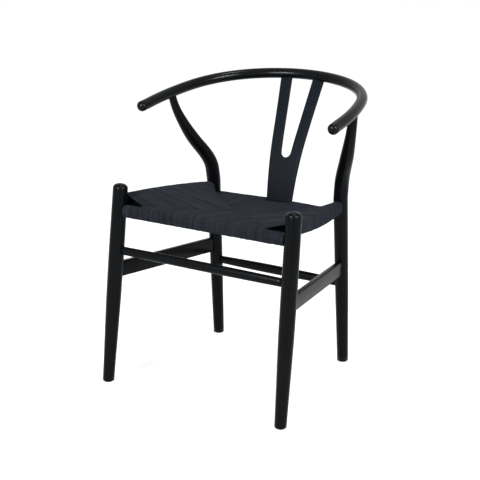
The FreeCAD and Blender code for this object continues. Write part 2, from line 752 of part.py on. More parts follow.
tacks = []
for name, side in SIDES:
    frame = side_rail_frame(side)
    outwards = frame.Rotation.multVec(Vector(0, -side, 0))
    for i in range(TACKS_PER_RAIL):
        share = (i + 1) / (TACKS_PER_RAIL + 1)
        at = frame.multVec(Vector(val("side_rail_run") * share, val("side_rail_width/2") * side,
                                  val("side_rail_fall") * share))
        tacks.append(tack(frame_along(at, at + outwards)))
cord_tacks = doc.addObject("Part::Feature", "cord_tacks")
cord_tacks.Shape = Part.makeCompound(tacks)


# Joints: every leg and rail is cut by the pieces that stand in it

pieces = {
    "top_rail": cut("top_rail", rail_blank, [rear_tenons[-1], rear_tenons[1], splat]),
    "seat_rail_rear": cut("seat_rail_rear", rear_rail_blank, [splat]),
    "back_splat": splat, "stretcher_front": front_bar, "stretcher_rear": rear_bar,
    "seat_rail_front": front_rail, "cord_tacks": cord_tacks,
}
for name, side in SIDES:
    pieces[f"front_leg_{name}"] = cut(
        f"front_leg_{name}", front_blanks[side],
        [front_rail, side_rails[side], front_bar, side_bars[side], front_glides[side]])
    pieces[f"rear_leg_{name}"] = cut(
        f"rear_leg_{name}", rear_blanks[side],
        [rear_rail_blank, side_rails[side], rear_bar, side_bars[side], rear_glides[side]])
    pieces[f"seat_rail_{name}"] = cut(f"seat_rail_{name}_tacked", side_rails[side], [cord_tacks])
    pieces[f"side_stretcher_{name}"] = side_bars[side]
    pieces[f"glide_front_{name}"] = front_glides[side]
    pieces[f"glide_rear_{name}"] = rear_glides[side]
doc.recompute()


# Woven seat: four fields that fall from the rails to the middle, and the cord round
# each rail; a small corner beside each front leg stays open

def grown_bar(width, rise, length):
    layer = val("cord_layer")
    box = Part.makeBox(width + 2 * layer, rise + 2 * layer, length,
                       Vector(-width / 2 - layer, -rise / 2 - layer, 0))
    along = [e for e in box.Edges if abs(e.tangentAt(e.FirstParameter).z) > math.sqrt(0.5)]
    return box.makeChamfer(val("cord_edge_bevel"), along)


def wrapped_front():
    left, right = (front_axis(s, val("front_rail_height")) for s in (-1, 1))
    bar = grown_bar(val("front_rail_width"), val("front_rail_rise"), (right - left).Length)
    bar.Placement = frame_along(left, right)
    return bar


def wrapped_rear():
    width, rise = val("rear_rail_width/2 + cord_layer"), val("rear_rail_rise/2 + cord_layer")
    corners = [Vector(0, rear_bend + y, z) for y, z in
               ((-width, -rise), (width, -rise), (width, rise), (-width, rise), (-width, -rise))]
    face = Part.Face(Part.makePolygon(corners))
    face.rotate(Vector(0, 0, 0), Vector(0, 0, 1), -rear_turn)
    bar = face.revolve(Vector(0, 0, 0), Vector(0, 0, 1), 2 * rear_turn)
    long_edges = [e for e in bar.Edges if e.Length > 4 * width]
    bar = bar.makeChamfer(val("cord_edge_bevel"), long_edges)
    bar.translate(rear_middle - Vector(0, rear_bend, 0))
    return bar


def wrapped_side(side):
    places = [Vector(val(x), 0, val(z)) for x, z in side_rail_places("cord_layer", "0")]
    edges = []
    for i, start in enumerate(places):
        end = places[(i + 1) % 4]
        if i in SIDE_RAIL_BOWS:
            left = Vector(start.z - end.z, 0, end.x - start.x).normalize()
            middle = (start + end) * 0.5 + left * val(SIDE_RAIL_BOWS[i])
            edges.append(Part.Arc(start, middle, end).toShape())
        else:
            edges.append(Part.LineSegment(start, end).toShape())
    width = val("side_rail_width + 2*cord_layer")
    face = Part.Face(Part.Wire(edges))
    face.translate(Vector(0, -width / 2, 0))
    bar = face.extrude(Vector(0, width, 0))
    wanted = runs_along(Vector(1, 0, 0))
    bar = bar.makeChamfer(val("cord_edge_bevel"), [e for e in bar.Edges if wanted(e)])
    bar.Placement = side_rail_frame(side)
    return bar


def side_wrap_heights(run):
    """Bottom and top of the cord on a side rail, so far along it."""
    share = run / val("side_rail_run")
    middle = val("side_rail_front_height") + val("side_rail_fall") * share
    half = val("side_rail_end_rise/2 + cord_layer")
    bulge = 4 * share * (1 - share)
    return middle - half - val("side_rail_belly") * bulge, middle + half + val("side_rail_crown") * bulge


def side_post(side, y):
    """Bottom and top points over the centre line of a side rail, at a depth y."""
    frame = side_rail_frame(side)
    along = frame.Rotation.multVec(Vector(1, 0, 0))
    run = (y - frame.Base.y) / along.y
    at = frame.Base + along * run
    low, high = side_wrap_heights(run)
    return Vector(at.x, at.y, low), Vector(at.x, at.y, high)


def post(x, y, middle, rise):
    return Vector(x, y, middle - rise / 2), Vector(x, y, middle + rise / 2)


def sunk(pair, down, up, shift):
    """A post moved by shift, with its top lowered and its bottom raised."""
    return pair[0] + Vector(0, 0, up) + shift, pair[1] - Vector(0, 0, down) + shift


def wedge(*posts):
    """A solid of flat faces that stands between three posts."""
    faces = [Part.Face(Part.makePolygon([post[end] for post in posts + posts[:1]])) for end in (0, 1)]
    for one, other in zip(posts, posts[1:] + posts[:1]):
        faces.append(Part.Face(Part.makePolygon([one[0], other[0], other[1], one[1], one[0]])))
    solid = Part.Solid(Part.Shell(faces))
    return solid


def field(first, second, third, fourth):
    """Two wedges between four posts that go round a field, cut from second to fourth."""
    return [wedge(first, second, fourth), wedge(second, third, fourth)]


def make_weave():
    layer, leg = val("cord_layer"), val("front_top_radius")
    thick = val("seat_centre_thickness")
    front_middle, rear_low = val("front_rail_height"), val("rear_rail_height")
    front_rise, rear_rise = val("front_rail_rise + 2*cord_layer"), val("rear_rail_rise + 2*cord_layer")
    front_line, rear_line = front_axis(1, front_middle).y, rear_ends[1].y
    middle_y = (front_line + rear_line) / 2
    middle_z = val("seat_centre_height") - thick / 2
    centre = post(0, middle_y, middle_z, thick)
    front_centre = post(0, front_line, front_middle, front_rise)
    rear_centre = post(0, rear_middle.y, rear_low, rear_rise)
    parts, pockets = [wrapped_front(), wrapped_rear()], []
    for side in (-1, 1):
        ridge = post(side * val("seat_bridge_length") / 2, middle_y, middle_z, thick)
        tip_x = front_axis(1, front_middle).x - leg - val("corner_gap_length")
        tip = post(side * tip_x, front_line, front_middle, front_rise)
        corner_x = rear_ends[1].x - val("rear_seat_radius")
        corner = post(side * corner_x, rear_line, rear_low, rear_rise)
        front_side = side_post(side, front_line + leg + layer)
        rear_side = side_post(side, rear_line - val("rear_seat_radius") - layer)
        middle_side = side_post(side, middle_y)
        parts += [
            *field(front_side, tip, ridge, middle_side),
            *field(rear_side, middle_side, ridge, corner),
            *field(front_centre, tip, ridge, centre),
            *field(rear_centre, centre, ridge, corner),
            wrapped_side(side),
        ]
        inwards = (middle_side[0] - front_side[0]).normalize()
        mouth = [sunk(pair, 2 * layer, layer, inwards * -layer) for pair in (front_side, tip)]
        depth = inwards * val("corner_gap_depth")
        back = [sunk(pair, 3 * layer, 2 * layer, depth) for pair in (front_side, tip)]
        pockets += field(mouth[0], mouth[1], back[1], back[0])
    weave = parts[0].multiFuse(parts[1:]).removeSplitter()
    inside = [pieces[name].Shape for name in
              ("seat_rail_front", "seat_rail_rear", "seat_rail_left", "seat_rail_right",
               "cord_tacks", "back_splat")]
    beside = [front_blanks[side].Shape for side in (-1, 1)]
    beside += [rear_blanks[side].Shape for side in (-1, 1)]
    return weave.cut(inside + beside + pockets)


woven_seat = doc.addObject("Part::Feature", "woven_seat")
woven_seat.Shape = make_weave()
pieces["woven_seat"] = woven_seat
doc.recompute()


# Every object is tested before anything is written

for name, piece in pieces.items():
    piece.Label = name
for obj in doc.Objects:
    if {"Invalid", "Error"} & set(obj.State):
        raise RuntimeError(f"{obj.Label} failed: {obj.State}")
os.makedirs("parts", exist_ok=True)
for name, piece in sorted(pieces.items()):
    shape = piece.Shape
    if shape.isNull() or not shape.isValid() or not shape.Solids:
        raise RuntimeError(f"{name} has no valid solid")
    print(f"{name}: {len(shape.Solids)} solid, {shape.Volume / 1000:.1f} cm3")
    shape.exportStep(f"parts/{name}.step")
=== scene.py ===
"""Wishbone chair in black lacquered beech with a seat woven of black paper cord. Sizes
are in millimetres and become metres where a mesh is made: +Z is up, and the sitter
looks along -Y."""
import math

import bpy
import numpy as np
from mathutils import Matrix, Vector
from mathutils.geometry import delaunay_2d_cdt


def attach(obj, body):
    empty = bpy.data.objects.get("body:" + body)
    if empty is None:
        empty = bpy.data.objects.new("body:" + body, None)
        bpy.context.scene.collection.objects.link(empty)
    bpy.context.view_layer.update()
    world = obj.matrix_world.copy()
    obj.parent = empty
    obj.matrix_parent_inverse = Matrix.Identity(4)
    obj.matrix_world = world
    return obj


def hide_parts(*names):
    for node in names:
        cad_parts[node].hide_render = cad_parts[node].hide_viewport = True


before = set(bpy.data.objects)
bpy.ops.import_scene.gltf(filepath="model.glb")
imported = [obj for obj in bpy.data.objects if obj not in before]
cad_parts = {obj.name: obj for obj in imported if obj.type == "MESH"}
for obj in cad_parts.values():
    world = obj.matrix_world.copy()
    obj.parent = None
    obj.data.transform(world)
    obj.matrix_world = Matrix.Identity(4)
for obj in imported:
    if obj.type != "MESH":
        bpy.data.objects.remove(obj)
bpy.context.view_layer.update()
MM = 0.001
SIDES = (("left", -1), ("right", 1))


# Front legs: turned from solid beech, thickest just under the seat, tapered to the foot
# and domed at the crown. Each leans back and a little inwards. Black satin lacquer is
# sprayed over the wood, through which its open grain can just be felt.

FRONT_FOOT, FRONT_CROWN = np.array((248.5, -271.7, 0.0)), np.array((240.0, -219.7, 505.0))
FRONT_RADII = ((0, 14.3), (210, 18.6), (335, 19.3), (500, 18.4))
CROWN_LENGTH, CROWN_FULLNESS = 11.7, 2.3
GLIDE_THICKNESS, FOOT_EASE, FIRST_RING = 2.5, 0.7, 18
ROUND = np.array([(math.cos(t), math.sin(t)) for t in np.arange(40) * math.tau / 40])
LACQUER_BLACK, LACQUER_RUBBED = (0.0026, 0.0034, 0.0043), (0.0058, 0.0071, 0.0087)
LACQUER_SATIN, LACQUER_GLOSS = (0.21, 0.28), 0.06
WOOD_PORES, WOOD_FIGURE = (14, 420, 420), (2.5, 70, 70)
SPRAY_GRAIN, SPRAY_CLOUDS, LACQUER_RELIEF = 900, 11, 0.00006


def add_node(tree, kind, settings=None, inputs=None):
    """A node with its settings made first, then the values or links of its sockets."""
    node = tree.nodes.new(kind)
    for name, setting in (settings or {}).items():
        setattr(node, name, setting)
    for name, value in (inputs or {}).items():
        value = getattr(value, "socket", value)
        if isinstance(value, bpy.types.NodeSocket):
            tree.links.new(value, node.inputs[name])
        else:
            node.inputs[name].default_value = value
    return node


class Shade:
    """A number on its way through a tree; arithmetic on it adds Math nodes."""

    def __init__(self, tree, socket):
        self.tree, self.socket = tree, socket

    def maths(self, operation, *terms):
        node = add_node(self.tree, "ShaderNodeMath", {"operation": operation},
                        dict(enumerate(terms)))
        return Shade(self.tree, node.outputs[0])

    def __add__(self, other):
        return self.maths("ADD", self, other)

    def __mul__(self, other):
        return self.maths("MULTIPLY", self, other)

    def __truediv__(self, other):
        return self.maths("DIVIDE", self, other)

    def __rtruediv__(self, other):
        return self.maths("DIVIDE", other, self)

    def wave(self):
        return self.maths("ABSOLUTE", self.maths("SINE", self))

    __radd__, __rmul__ = __add__, __mul__


class Finish:
    """One surface finish: a shader and the patterns that feed it."""

    def __init__(self, name, **constants):
        self.material = bpy.data.materials.new(name)
        self.material.use_nodes = True
        self.tree = self.material.node_tree
        self.shader = self.tree.nodes["Principled BSDF"]
        for socket, value in constants.items():
            self.shader.inputs[socket.replace("_", " ")].default_value = value

    def shade(self, kind, settings=None, inputs=None, output=0):
        node = add_node(self.tree, kind, settings, inputs)
        return Shade(self.tree, node.outputs[output])

    def place(self):
        """Where a point lies on the piece, in metres."""
        return self.shade("ShaderNodeTexCoord", output="Object")

    def carried(self, attribute, output="Vector"):
        """What the mesh itself says about a point."""
        return self.shade("ShaderNodeAttribute", {"attribute_name": attribute}, output=output)

    def stretched(self, vector, stretch):
        return self.shade("ShaderNodeMapping", inputs={"Vector": vector, "Scale": stretch})

    def noise(self, vector, scale, detail=2.0, roughness=0.5):
        return self.shade("ShaderNodeTexNoise", inputs={
            "Vector": vector, "Scale": scale, "Detail": detail, "Roughness": roughness})

    def spread(self, amount, low, high):
        """Takes an amount from 0 to 1 to the span from low to high."""
        return self.shade("ShaderNodeMapRange", inputs={
            "Value": amount, "To Min": low, "To Max": high})

    def blend(self, amount, first, second):
        """A colour between two others, each (red, green, blue)."""
        ends = {6: (*first, 1), 7: (*second, 1)}
        return self.shade("ShaderNodeMix", {"data_type": "RGBA"}, {0: amount, **ends}, 2)

    def feed(self, **shades):
        for socket, shade in shades.items():
            self.tree.links.new(shade.socket, self.shader.inputs[socket.replace("_", " ")])

    def relief(self, height, distance, strength=1.0):
        self.feed(Normal=self.shade("ShaderNodeBump", inputs={
            "Height": height, "Distance": distance, "Strength": strength}))


def lacquer(name, timber, black=LACQUER_BLACK, rubbed=LACQUER_RUBBED, satin=LACQUER_SATIN,
            gloss=LACQUER_GLOSS):
    """Black satin lacquer; timber(finish) gives the place in the wood, along it first.
    satin is the span of its roughness, and gloss how much it mirrors seen straight on."""
    finish = Finish(name, IOR=1.5, Specular_IOR_Level=gloss)
    wood = timber(finish)
    pores = finish.noise(finish.stretched(wood, WOOD_PORES), 1.0, 3, 0.6)
    figure = finish.noise(finish.stretched(wood, WOOD_FIGURE), 1.0, 4, 0.55)
    spray = finish.noise(wood, SPRAY_GRAIN, 2, 0.6)
    cloud = finish.noise(wood, SPRAY_CLOUDS, 2)
    finish.feed(Base_Color=finish.blend(figure * cloud, black, rubbed),
                Roughness=finish.spread(cloud, *satin) + finish.spread(figure, -0.03, 0.03))
    finish.relief(pores * 0.6 + figure * 0.25 + spray * 0.15, LACQUER_RELIEF, 0.5)
    return finish.material


def solid(name, places, faces, material, timber=None):
    """A piece from points in millimetres, with its faces turned outwards and smoothed."""
    places = np.asarray(places, float) * MM
    fans = [(f[0], f[i], f[i + 1]) for f in faces for i in range(1, len(f) - 1)]
    a, b, c = (places[[fan[i] for fan in fans]] for i in range(3))
    if (a * np.cross(b, c)).sum() < 0:
        faces = [f[::-1] for f in faces]
    mesh = bpy.data.meshes.new(name)
    mesh.from_pydata(places.tolist(), [], faces)
    mesh.shade_smooth()
    mesh.materials.append(material)
    if timber is not None:
        carried = mesh.attributes.new("timber", "FLOAT_VECTOR", "POINT")
        carried.data.foreach_set("vector", (np.asarray(timber) * MM).ravel())
    piece = bpy.data.objects.new(name, mesh)
    bpy.context.scene.collection.objects.link(piece)
    return piece


def stand_in(piece, slot, *nodes):
    """Lets a piece ride on the chair in place of its nodes."""
    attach(piece, "root")
    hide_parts(*nodes)


def limb(name, centres, across, upward, shape, material, level=None):
    """A rod along centres. shape is its section in shares of two half widths, across and
    upward, which each station has as vectors; level cuts its first end off flat."""
    centres, across, upward = (np.asarray(a, float) for a in (centres, across, upward))
    rings = (centres[:, None] + shape[None, :, :1] * across[:, None]
             + shape[None, :, 1:] * upward[:, None])
    if level is not None:
        way = centres[1] - centres[0]
        rings[0] += way * ((level - rings[0, :, 2:]) / way[2])
    steps = np.linalg.norm(np.diff(centres, axis=0), axis=1)
    along = np.broadcast_to(np.append(0, np.cumsum(steps))[:, None], rings.shape[:2])
    widths = [np.linalg.norm(half, axis=1)[:, None] for half in (across, upward)]
    timber = np.dstack([along, shape[:, 0] * widths[0], shape[:, 1] * widths[1]])
    count, sides = rings.shape[:2]
    faces = [(i * sides + j, i * sides + (j + 1) % sides,
              (i + 1) * sides + (j + 1) % sides, (i + 1) * sides + j)
             for i in range(count - 1) for j in range(sides)]
    for ring, middle, step in ((0, count * sides, -1), (count - 1, count * sides + 1, 1)):
        faces += [(middle, ring * sides + j, ring * sides + (j + step) % sides)
                  for j in range(sides)]
    ends = [[grid[0].mean(0), grid[-1].mean(0)] for grid in (rings, timber)]
    return solid(name, np.vstack([rings.reshape(-1, 3), ends[0]]), faces, material,
                 np.vstack([timber.reshape(-1, 3), ends[1]]))


def domed(radius, length, fullness):
    """Lengths and radii of a domed end, from its rim almost to its tip, where a ring
    would close to a point."""
    turns = np.radians(np.linspace(0, 88.5, 9))
    return length * np.sin(turns), radius * np.cos(turns) ** (2 / fullness)


def tapered(heights, stops, ease=28):
    """Radii between the given stops, with the bends between them eased out."""
    moves = np.linspace(-ease, ease, 9)
    return np.mean([np.interp(heights + move, *zip(*stops)) for move in moves], axis=0)


def mirrored(place, side):
    return np.array((side * place[0], place[1], place[2]))


turned_wood = lacquer("lacquer_turned", lambda finish: finish.carried("timber"))
for name, side in SIDES:
    foot, crown = mirrored(FRONT_FOOT, side), mirrored(FRONT_CROWN, side)
    length = np.linalg.norm(crown - foot)
    way = (crown - foot) / length
    heights = np.append(GLIDE_THICKNESS + np.array((0, FOOT_EASE)),
                        np.linspace(FIRST_RING, length - CROWN_LENGTH, 24))
    radii = tapered(heights, FRONT_RADII)
    radii[0] -= FOOT_EASE
    rise, dome = domed(radii[-1], CROWN_LENGTH, CROWN_FULLNESS)
    heights = np.append(heights, heights[-1] + rise[1:])
    radii = np.append(radii, dome[1:])
    across = np.cross(way, (0, 1, 0))
    across /= np.linalg.norm(across)
    leg = limb(f"front_leg_turned_{name}", foot + way * heights[:, None],
               across * radii[:, None], np.cross(way, across) * radii[:, None], ROUND,
               turned_wood, GLIDE_THICKNESS)
    stand_in(leg, "lacquered_wood", f"front_leg_{name}")


# Rear legs: sawn from a thick plank and rounded. Below the seat they are straight; above
# it they sweep outwards and forwards in a long bend up to the rail, slimmer as they go.

REAR_FOOT, REAR_SEAT = np.array((194.8, 173.0, 0.0)), np.array((189.2, 127.6, 456.0))
REAR_TOP = np.array((259.2, 28.5, 695.4))
REAR_RADII = ((0, 14.6), (200, 17.2), (456, 18.6))
REAR_TOP_HALVES, SWEEP_GAP = (11.25, 9.75), 12
SWEEP_SHARES = (0, 0.022, 0.055, 0.132, 0.249, 0.388, 0.517, 0.63, 0.731, 0.823, 0.9, 0.957, 1)
SLIM_SHARES = (0, 0, 0.02, 0.06, 0.12, 0.185, 0.24, 0.395, 0.57, 0.74, 0.865, 0.95, 1)


def eased(values, parts=4):
    """Values at even steps, with parts of each step between them on a smooth curve."""
    values = np.asarray(values, float)
    row = np.concatenate([[2 * values[0] - values[1]], values, [2 * values[-1] - values[-2]]])
    t = np.arange(parts) / parts
    spans = [0.5 * (2 * b + (c - a) * t + (2 * a - 5 * b + 4 * c - d) * t ** 2
                    + (3 * b - a - 3 * c + d) * t ** 3)
             for a, b, c, d in zip(row, row[1:], row[2:], row[3:])]
    return np.append(np.concatenate(spans), values[-1])


sawn_wood = lacquer("lacquer_sawn", lambda finish: finish.carried("timber"))
for name, side in SIDES:
    foot, seat, top = (mirrored(place, side) for place in (REAR_FOOT, REAR_SEAT, REAR_TOP))
    low = np.append(GLIDE_THICKNESS + np.array((0, FOOT_EASE)),
                    np.linspace(FIRST_RING, seat[2] - SWEEP_GAP, 22))
    swept, slimmed = eased(SWEEP_SHARES), eased(SLIM_SHARES)
    steps = np.linspace(0, 1, len(swept))[:, None]
    sweep = np.hstack([seat[:2] + (top - seat)[:2] * swept[:, None],
                       seat[2] + (top - seat)[2:] * steps])
    centres = np.vstack([foot + (seat - foot) * low[:, None] / seat[2], sweep])
    ways = np.gradient(centres, axis=0)
    ways /= np.linalg.norm(ways, axis=1)[:, None]
    square = np.cross(ways, (top[0] - seat[0], top[1] - seat[1], 0))
    square /= np.linalg.norm(square, axis=1)[:, None]
    radii = tapered(low, REAR_RADII)
    radii[0] -= FOOT_EASE
    halves = [np.append(radii, radii[-1] + (half - radii[-1]) * slimmed)
              for half in REAR_TOP_HALVES]
    leg = limb(f"rear_leg_sawn_{name}", centres, square * halves[0][:, None],
               np.cross(ways, square) * halves[1][:, None], ROUND, sawn_wood, GLIDE_THICKNESS)
    stand_in(leg, "lacquered_wood", f"rear_leg_{name}")


# Lower bars: an oval bar between the two front legs and one between the two rear legs,
# each thicker in its middle, and a board on edge with rounded corners at either side.
# All stand in round or flat tenons, glued.

FRONT_BAR = {"height": 339.8, "rise": 21, "width": 15.5, "swell": 2.6}
REAR_BAR = {"height": 224.6, "rise": 20, "width": 15, "swell": 5}
SIDE_BAR_FRONT, SIDE_BAR_REAR = 288, 269.5
SIDE_BAR_RISE, SIDE_BAR_THICKNESS, SIDE_BAR_ROUNDING = 39.4, 15, 4
BAR_START = 9


def at_height(foot, top, height, side):
    """The middle of a leg at a height."""
    return mirrored(foot + (top - foot) * (height - foot[2]) / (top[2] - foot[2]), side)


def rounded_board(thickness, rise, rounding, steps=5):
    """A board's section in shares of its half widths."""
    corners = []
    for quarter, (x, y) in enumerate(((1, 1), (-1, 1), (-1, -1), (1, -1))):
        for turn in np.radians(np.linspace(0, 90, steps) + 90 * quarter):
            across = x * (thickness / 2 - rounding) + rounding * math.cos(turn)
            upward = y * (rise / 2 - rounding) + rounding * math.sin(turn)
            corners.append((across * 2 / thickness, upward * 2 / rise))
    return np.array(corners)


def bar(name, ends, rise, width, swell, shape, material):
    """A bar between the middles of two legs; rise and width are its whole sizes."""
    start, end = ends
    span = np.linalg.norm(end - start)
    way = (end - start) / span
    along = np.linspace(BAR_START, span - BAR_START, 25)
    bulge = swell * 4 * along * (span - along) / span ** 2
    side = np.cross((0, 0, 1), way)
    side /= np.linalg.norm(side)
    return limb(name, start + way * along[:, None], side * ((width + bulge) / 2)[:, None],
                np.cross(way, side) * ((rise + bulge) / 2)[:, None], shape, material)


bar_wood = lacquer("lacquer_bar", lambda finish: finish.carried("timber"))
for name, sizes, foot, top in (("front", FRONT_BAR, FRONT_FOOT, FRONT_CROWN),
                               ("rear", REAR_BAR, REAR_FOOT, REAR_SEAT)):
    ends = [at_height(foot, top, sizes["height"], side) for side in (-1, 1)]
    piece = bar(f"oval_bar_{name}", ends, sizes["rise"], sizes["width"], sizes["swell"], ROUND,
                bar_wood)
    stand_in(piece, "lacquered_wood", f"stretcher_{name}")
board = rounded_board(SIDE_BAR_THICKNESS, SIDE_BAR_RISE, SIDE_BAR_ROUNDING)
for name, side in SIDES:
    ends = [at_height(FRONT_FOOT, FRONT_CROWN, SIDE_BAR_FRONT, side),
            at_height(REAR_FOOT, REAR_SEAT, SIDE_BAR_REAR, side)]
    piece = bar(f"side_bar_{name}", ends, SIDE_BAR_RISE, SIDE_BAR_THICKNESS, 0, board, bar_wood)
    stand_in(piece, "lacquered_wood", f"side_stretcher_{name}")


# Seat rails: four lengths of beech round which the cord is wound, lacquered like the
# legs. The front and the rear one are oval and thin down beside the legs, where the
# weave stays open; the rear one bows backwards. The side ones are boards.

# thinned: where a rail starts and ends to thin down, and what its height and its half
# rise change by on the way.
FRONT_RAIL = {"y": -226.1, "bend": None, "z": 440.8, "half": 10.5, "rise": 14.15,
              "thinned": (168, 178, -2.4, -2.6)}
REAR_RAIL = {"y": 151.7, "bend": 957.8, "z": 404.8, "half": 12, "rise": 12.75,
             "thinned": (110, 168, 6.0, -5.0)}
RAIL_ENDS = {"front": 233, "rear": 180}
RAIL_OVAL = 2.6


def rail_line(rail, x):
    """Middle and half rise of the front or the rear rail at a distance from the centre."""
    bow = 0 if rail["bend"] is None else rail["bend"] - math.sqrt(rail["bend"] ** 2 - x * x)
    start, end, lift, thinner = rail["thinned"]
    share = min(max((abs(x) - start) / (end - start), 0), 1)
    share *= share * (3 - 2 * share)
    return rail["y"] - bow, rail["z"] + lift * share, rail["rise"] + thinner * share


def oval(count, fullness):
    """A section in shares of its half widths, fuller at its corners than an ellipse."""
    turns = np.arange(count) * math.tau / count
    return np.column_stack([np.sign(wave) * np.abs(wave) ** (2 / fullness)
                            for wave in (np.cos(turns), np.sin(turns))])


def dress(node, material):
    """Gives a solid of the frame its finish."""
    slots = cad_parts[node].data.materials
    for i in range(len(slots)):
        slots[i] = material
    if not len(slots):
        slots.append(material)


rail_wood = lacquer("lacquer_seat_rail", lambda finish: finish.carried("timber"))
for name, rail in (("front", FRONT_RAIL), ("rear", REAR_RAIL)):
    xs = np.linspace(-RAIL_ENDS[name], RAIL_ENDS[name], 61)
    line = np.array([rail_line(rail, x) for x in xs])
    piece = limb(f"oval_rail_{name}", np.column_stack([xs, line[:, :2]]),
                 np.full((len(xs), 1), rail["half"]) * (0, 1, 0), line[:, 2:] * (0, 0, 1),
                 oval(24, RAIL_OVAL), rail_wood)
    stand_in(piece, "lacquered_wood", f"seat_rail_{name}")
board_wood = lacquer("lacquer_side_rail", lambda finish: finish.shade(
    "ShaderNodeMapping", inputs={"Vector": finish.place(), "Rotation": (0, 0, math.radians(90))}))
for name, _ in SIDES:
    dress(f"seat_rail_{name}", board_wood)


# Bent rail: one length of beech, steamed and bent into the back and both armrests, with
# a round section and domed ends. The rear legs and the splat stand in it from below.

RAIL_RADIUS, RAIL_TILT = 13.5, math.radians(9.8)
RAIL_BACK = np.array((0, 272.5, 737.5))
RAIL_BENDS = ((282, 0, 25.6), (230, 25.6, 75.1), (607, 75.1, 90))
RAIL_FLARE, RAIL_ARM_LENGTH = 708, 48.8
RAIL_DOME, RAIL_FULLNESS = 10.5, 2.1
RAIL_BLACK, RAIL_SATIN, RAIL_GLOSS = (0.0016, 0.0024, 0.0031), (0.2, 0.26), 0.085
RAIL_PACE = 700  # degrees of a bend times its radius between two stations


def rail_half():
    """The rail's middle line in its own plane, from the back to the end of one arm."""
    points, centre, last = [], np.array((0.0, -RAIL_BENDS[0][0])), RAIL_BENDS[0][0]
    for bend, start, end in RAIL_BENDS:
        turn = math.radians(start)
        centre = centre + (last - bend) * np.array((math.sin(turn), math.cos(turn)))
        last = bend
        count = round((end - start) * bend / RAIL_PACE) + 3
        for turn in np.radians(np.linspace(start, end, count)[:-1]):
            points.append(centre + bend * np.array((math.sin(turn), math.cos(turn))))
    centre = centre + np.array((last + RAIL_FLARE, 0))
    for past in np.linspace(0, RAIL_ARM_LENGTH - RAIL_DOME, 6):
        swing = past / RAIL_FLARE
        points.append(centre - RAIL_FLARE * np.array((math.cos(swing), math.sin(swing))))
    return np.array(points)


half = rail_half()
flat = np.vstack([half[:0:-1] * (-1, 1), half])
ways = np.gradient(flat, axis=0)
ways /= np.linalg.norm(ways, axis=1)[:, None]
rise, dome = domed(RAIL_RADIUS, RAIL_DOME, RAIL_FULLNESS)
flat = np.vstack([flat[0] - ways[0] * rise[:0:-1, None], flat,
                  flat[-1] + ways[-1] * rise[1:, None]])
added = len(rise) - 1
ways = np.vstack([np.repeat(ways[:1], added, 0), ways, np.repeat(ways[-1:], added, 0)])
radii = np.concatenate([dome[:0:-1], np.full(2 * len(half) - 1, RAIL_RADIUS), dome[1:]])[:, None]
tilt = np.array(((1, 0), (0, math.cos(RAIL_TILT)), (0, math.sin(RAIL_TILT))))
square = np.array((0, -math.sin(RAIL_TILT), math.cos(RAIL_TILT)))
across = np.column_stack([-ways[:, 1], ways[:, 0]]) @ tilt.T
bent_wood = lacquer("lacquer_bent", lambda finish: finish.carried("timber"), RAIL_BLACK,
                    LACQUER_RUBBED, RAIL_SATIN, RAIL_GLOSS)
rail = limb("bent_rail", RAIL_BACK + flat @ tilt.T, across * radii, square * radii, ROUND,
            bent_wood)
stand_in(rail, "lacquered_wood", "top_rail")


# Splat: a Y cut from curved plywood with eased edges. Its foot stands in a groove of the
# rear seat rail, and its two arms go up into the bent rail.

SPLAT_HALF, SPLAT_EASE = 4.25, 1.6
SPLAT_FOOT, SPLAT_HEAD = (151.7, 408.55), (268.4, 736.8)
SPLAT_LEAN, SPLAT_HEAD_LEAN, SPLAT_BEND = math.radians(7), math.radians(24.07), 620
SPLAT_WIDTHS = (73, 128)
SPLAT_WAIST_IN, SPLAT_ARM = 2.61, 31.5
SLOT_BOTTOM, SLOT_RADIUS = 529, 15
SPLAT_GRID = 6.0
# Painted sheen: the splat's black is lighter and bluer than the frame's other lacquer, for a
# broad sheen across its face.
SPLAT_SHEEN_BLACK, SPLAT_SHEEN_RUBBED = (0.0089, 0.0122, 0.0182), (0.0152, 0.0200, 0.0286)
SPLAT_SATIN, SPLAT_GLOSS = (0.34, 0.44), 0.032


def splat_middle(z):
    """How far back the middle of the plywood stands at a height, and how it leans."""
    centre_y = SPLAT_FOOT[0] + SPLAT_BEND * math.cos(SPLAT_LEAN)
    centre_z = SPLAT_FOOT[1] - SPLAT_BEND * math.sin(SPLAT_LEAN)
    lean = math.asin(min((z - centre_z) / SPLAT_BEND, math.sin(SPLAT_HEAD_LEAN)))
    joint_z = centre_z + SPLAT_BEND * math.sin(lean)
    return centre_y - SPLAT_BEND * math.cos(lean) + max(z - joint_z, 0) * math.tan(lean), lean


def splat_outline(step=5.0):
    """The Y from the front, anticlockwise in x and z."""
    low, high = SPLAT_FOOT[1], SPLAT_HEAD[1]
    up = np.linspace(0, 1, round((high - low) / step))
    spread = (SPLAT_WIDTHS[1] - SPLAT_WIDTHS[0]) / 2
    reach = SPLAT_WIDTHS[0] / 2 + spread * up - 4 * SPLAT_WAIST_IN * up * (1 - up)
    outer = np.column_stack([reach, low + (high - low) * up])
    slot_middle = SLOT_BOTTOM + SLOT_RADIUS
    down = np.linspace(1, 0, round((high - slot_middle) / step))[:, None]
    inner = np.array((SLOT_RADIUS, slot_middle)) + down * (
        SPLAT_WIDTHS[1] / 2 - SPLAT_ARM - SLOT_RADIUS, high - slot_middle)
    head = np.column_stack([np.linspace(outer[-1, 0], inner[0, 0], 8)[1:-1], np.full(6, high)])
    right = np.vstack([outer, head, inner])
    turns = np.radians(np.linspace(0, 180, 15)[1:-1])
    slot = np.column_stack([SLOT_RADIUS * np.cos(turns),
                            slot_middle - SLOT_RADIUS * np.sin(turns)])
    base = np.column_stack([np.linspace(-right[0, 0], right[0, 0], 16)[1:-1], np.full(14, low)])
    return np.vstack([right, slot, right[::-1] * (-1, 1), base])


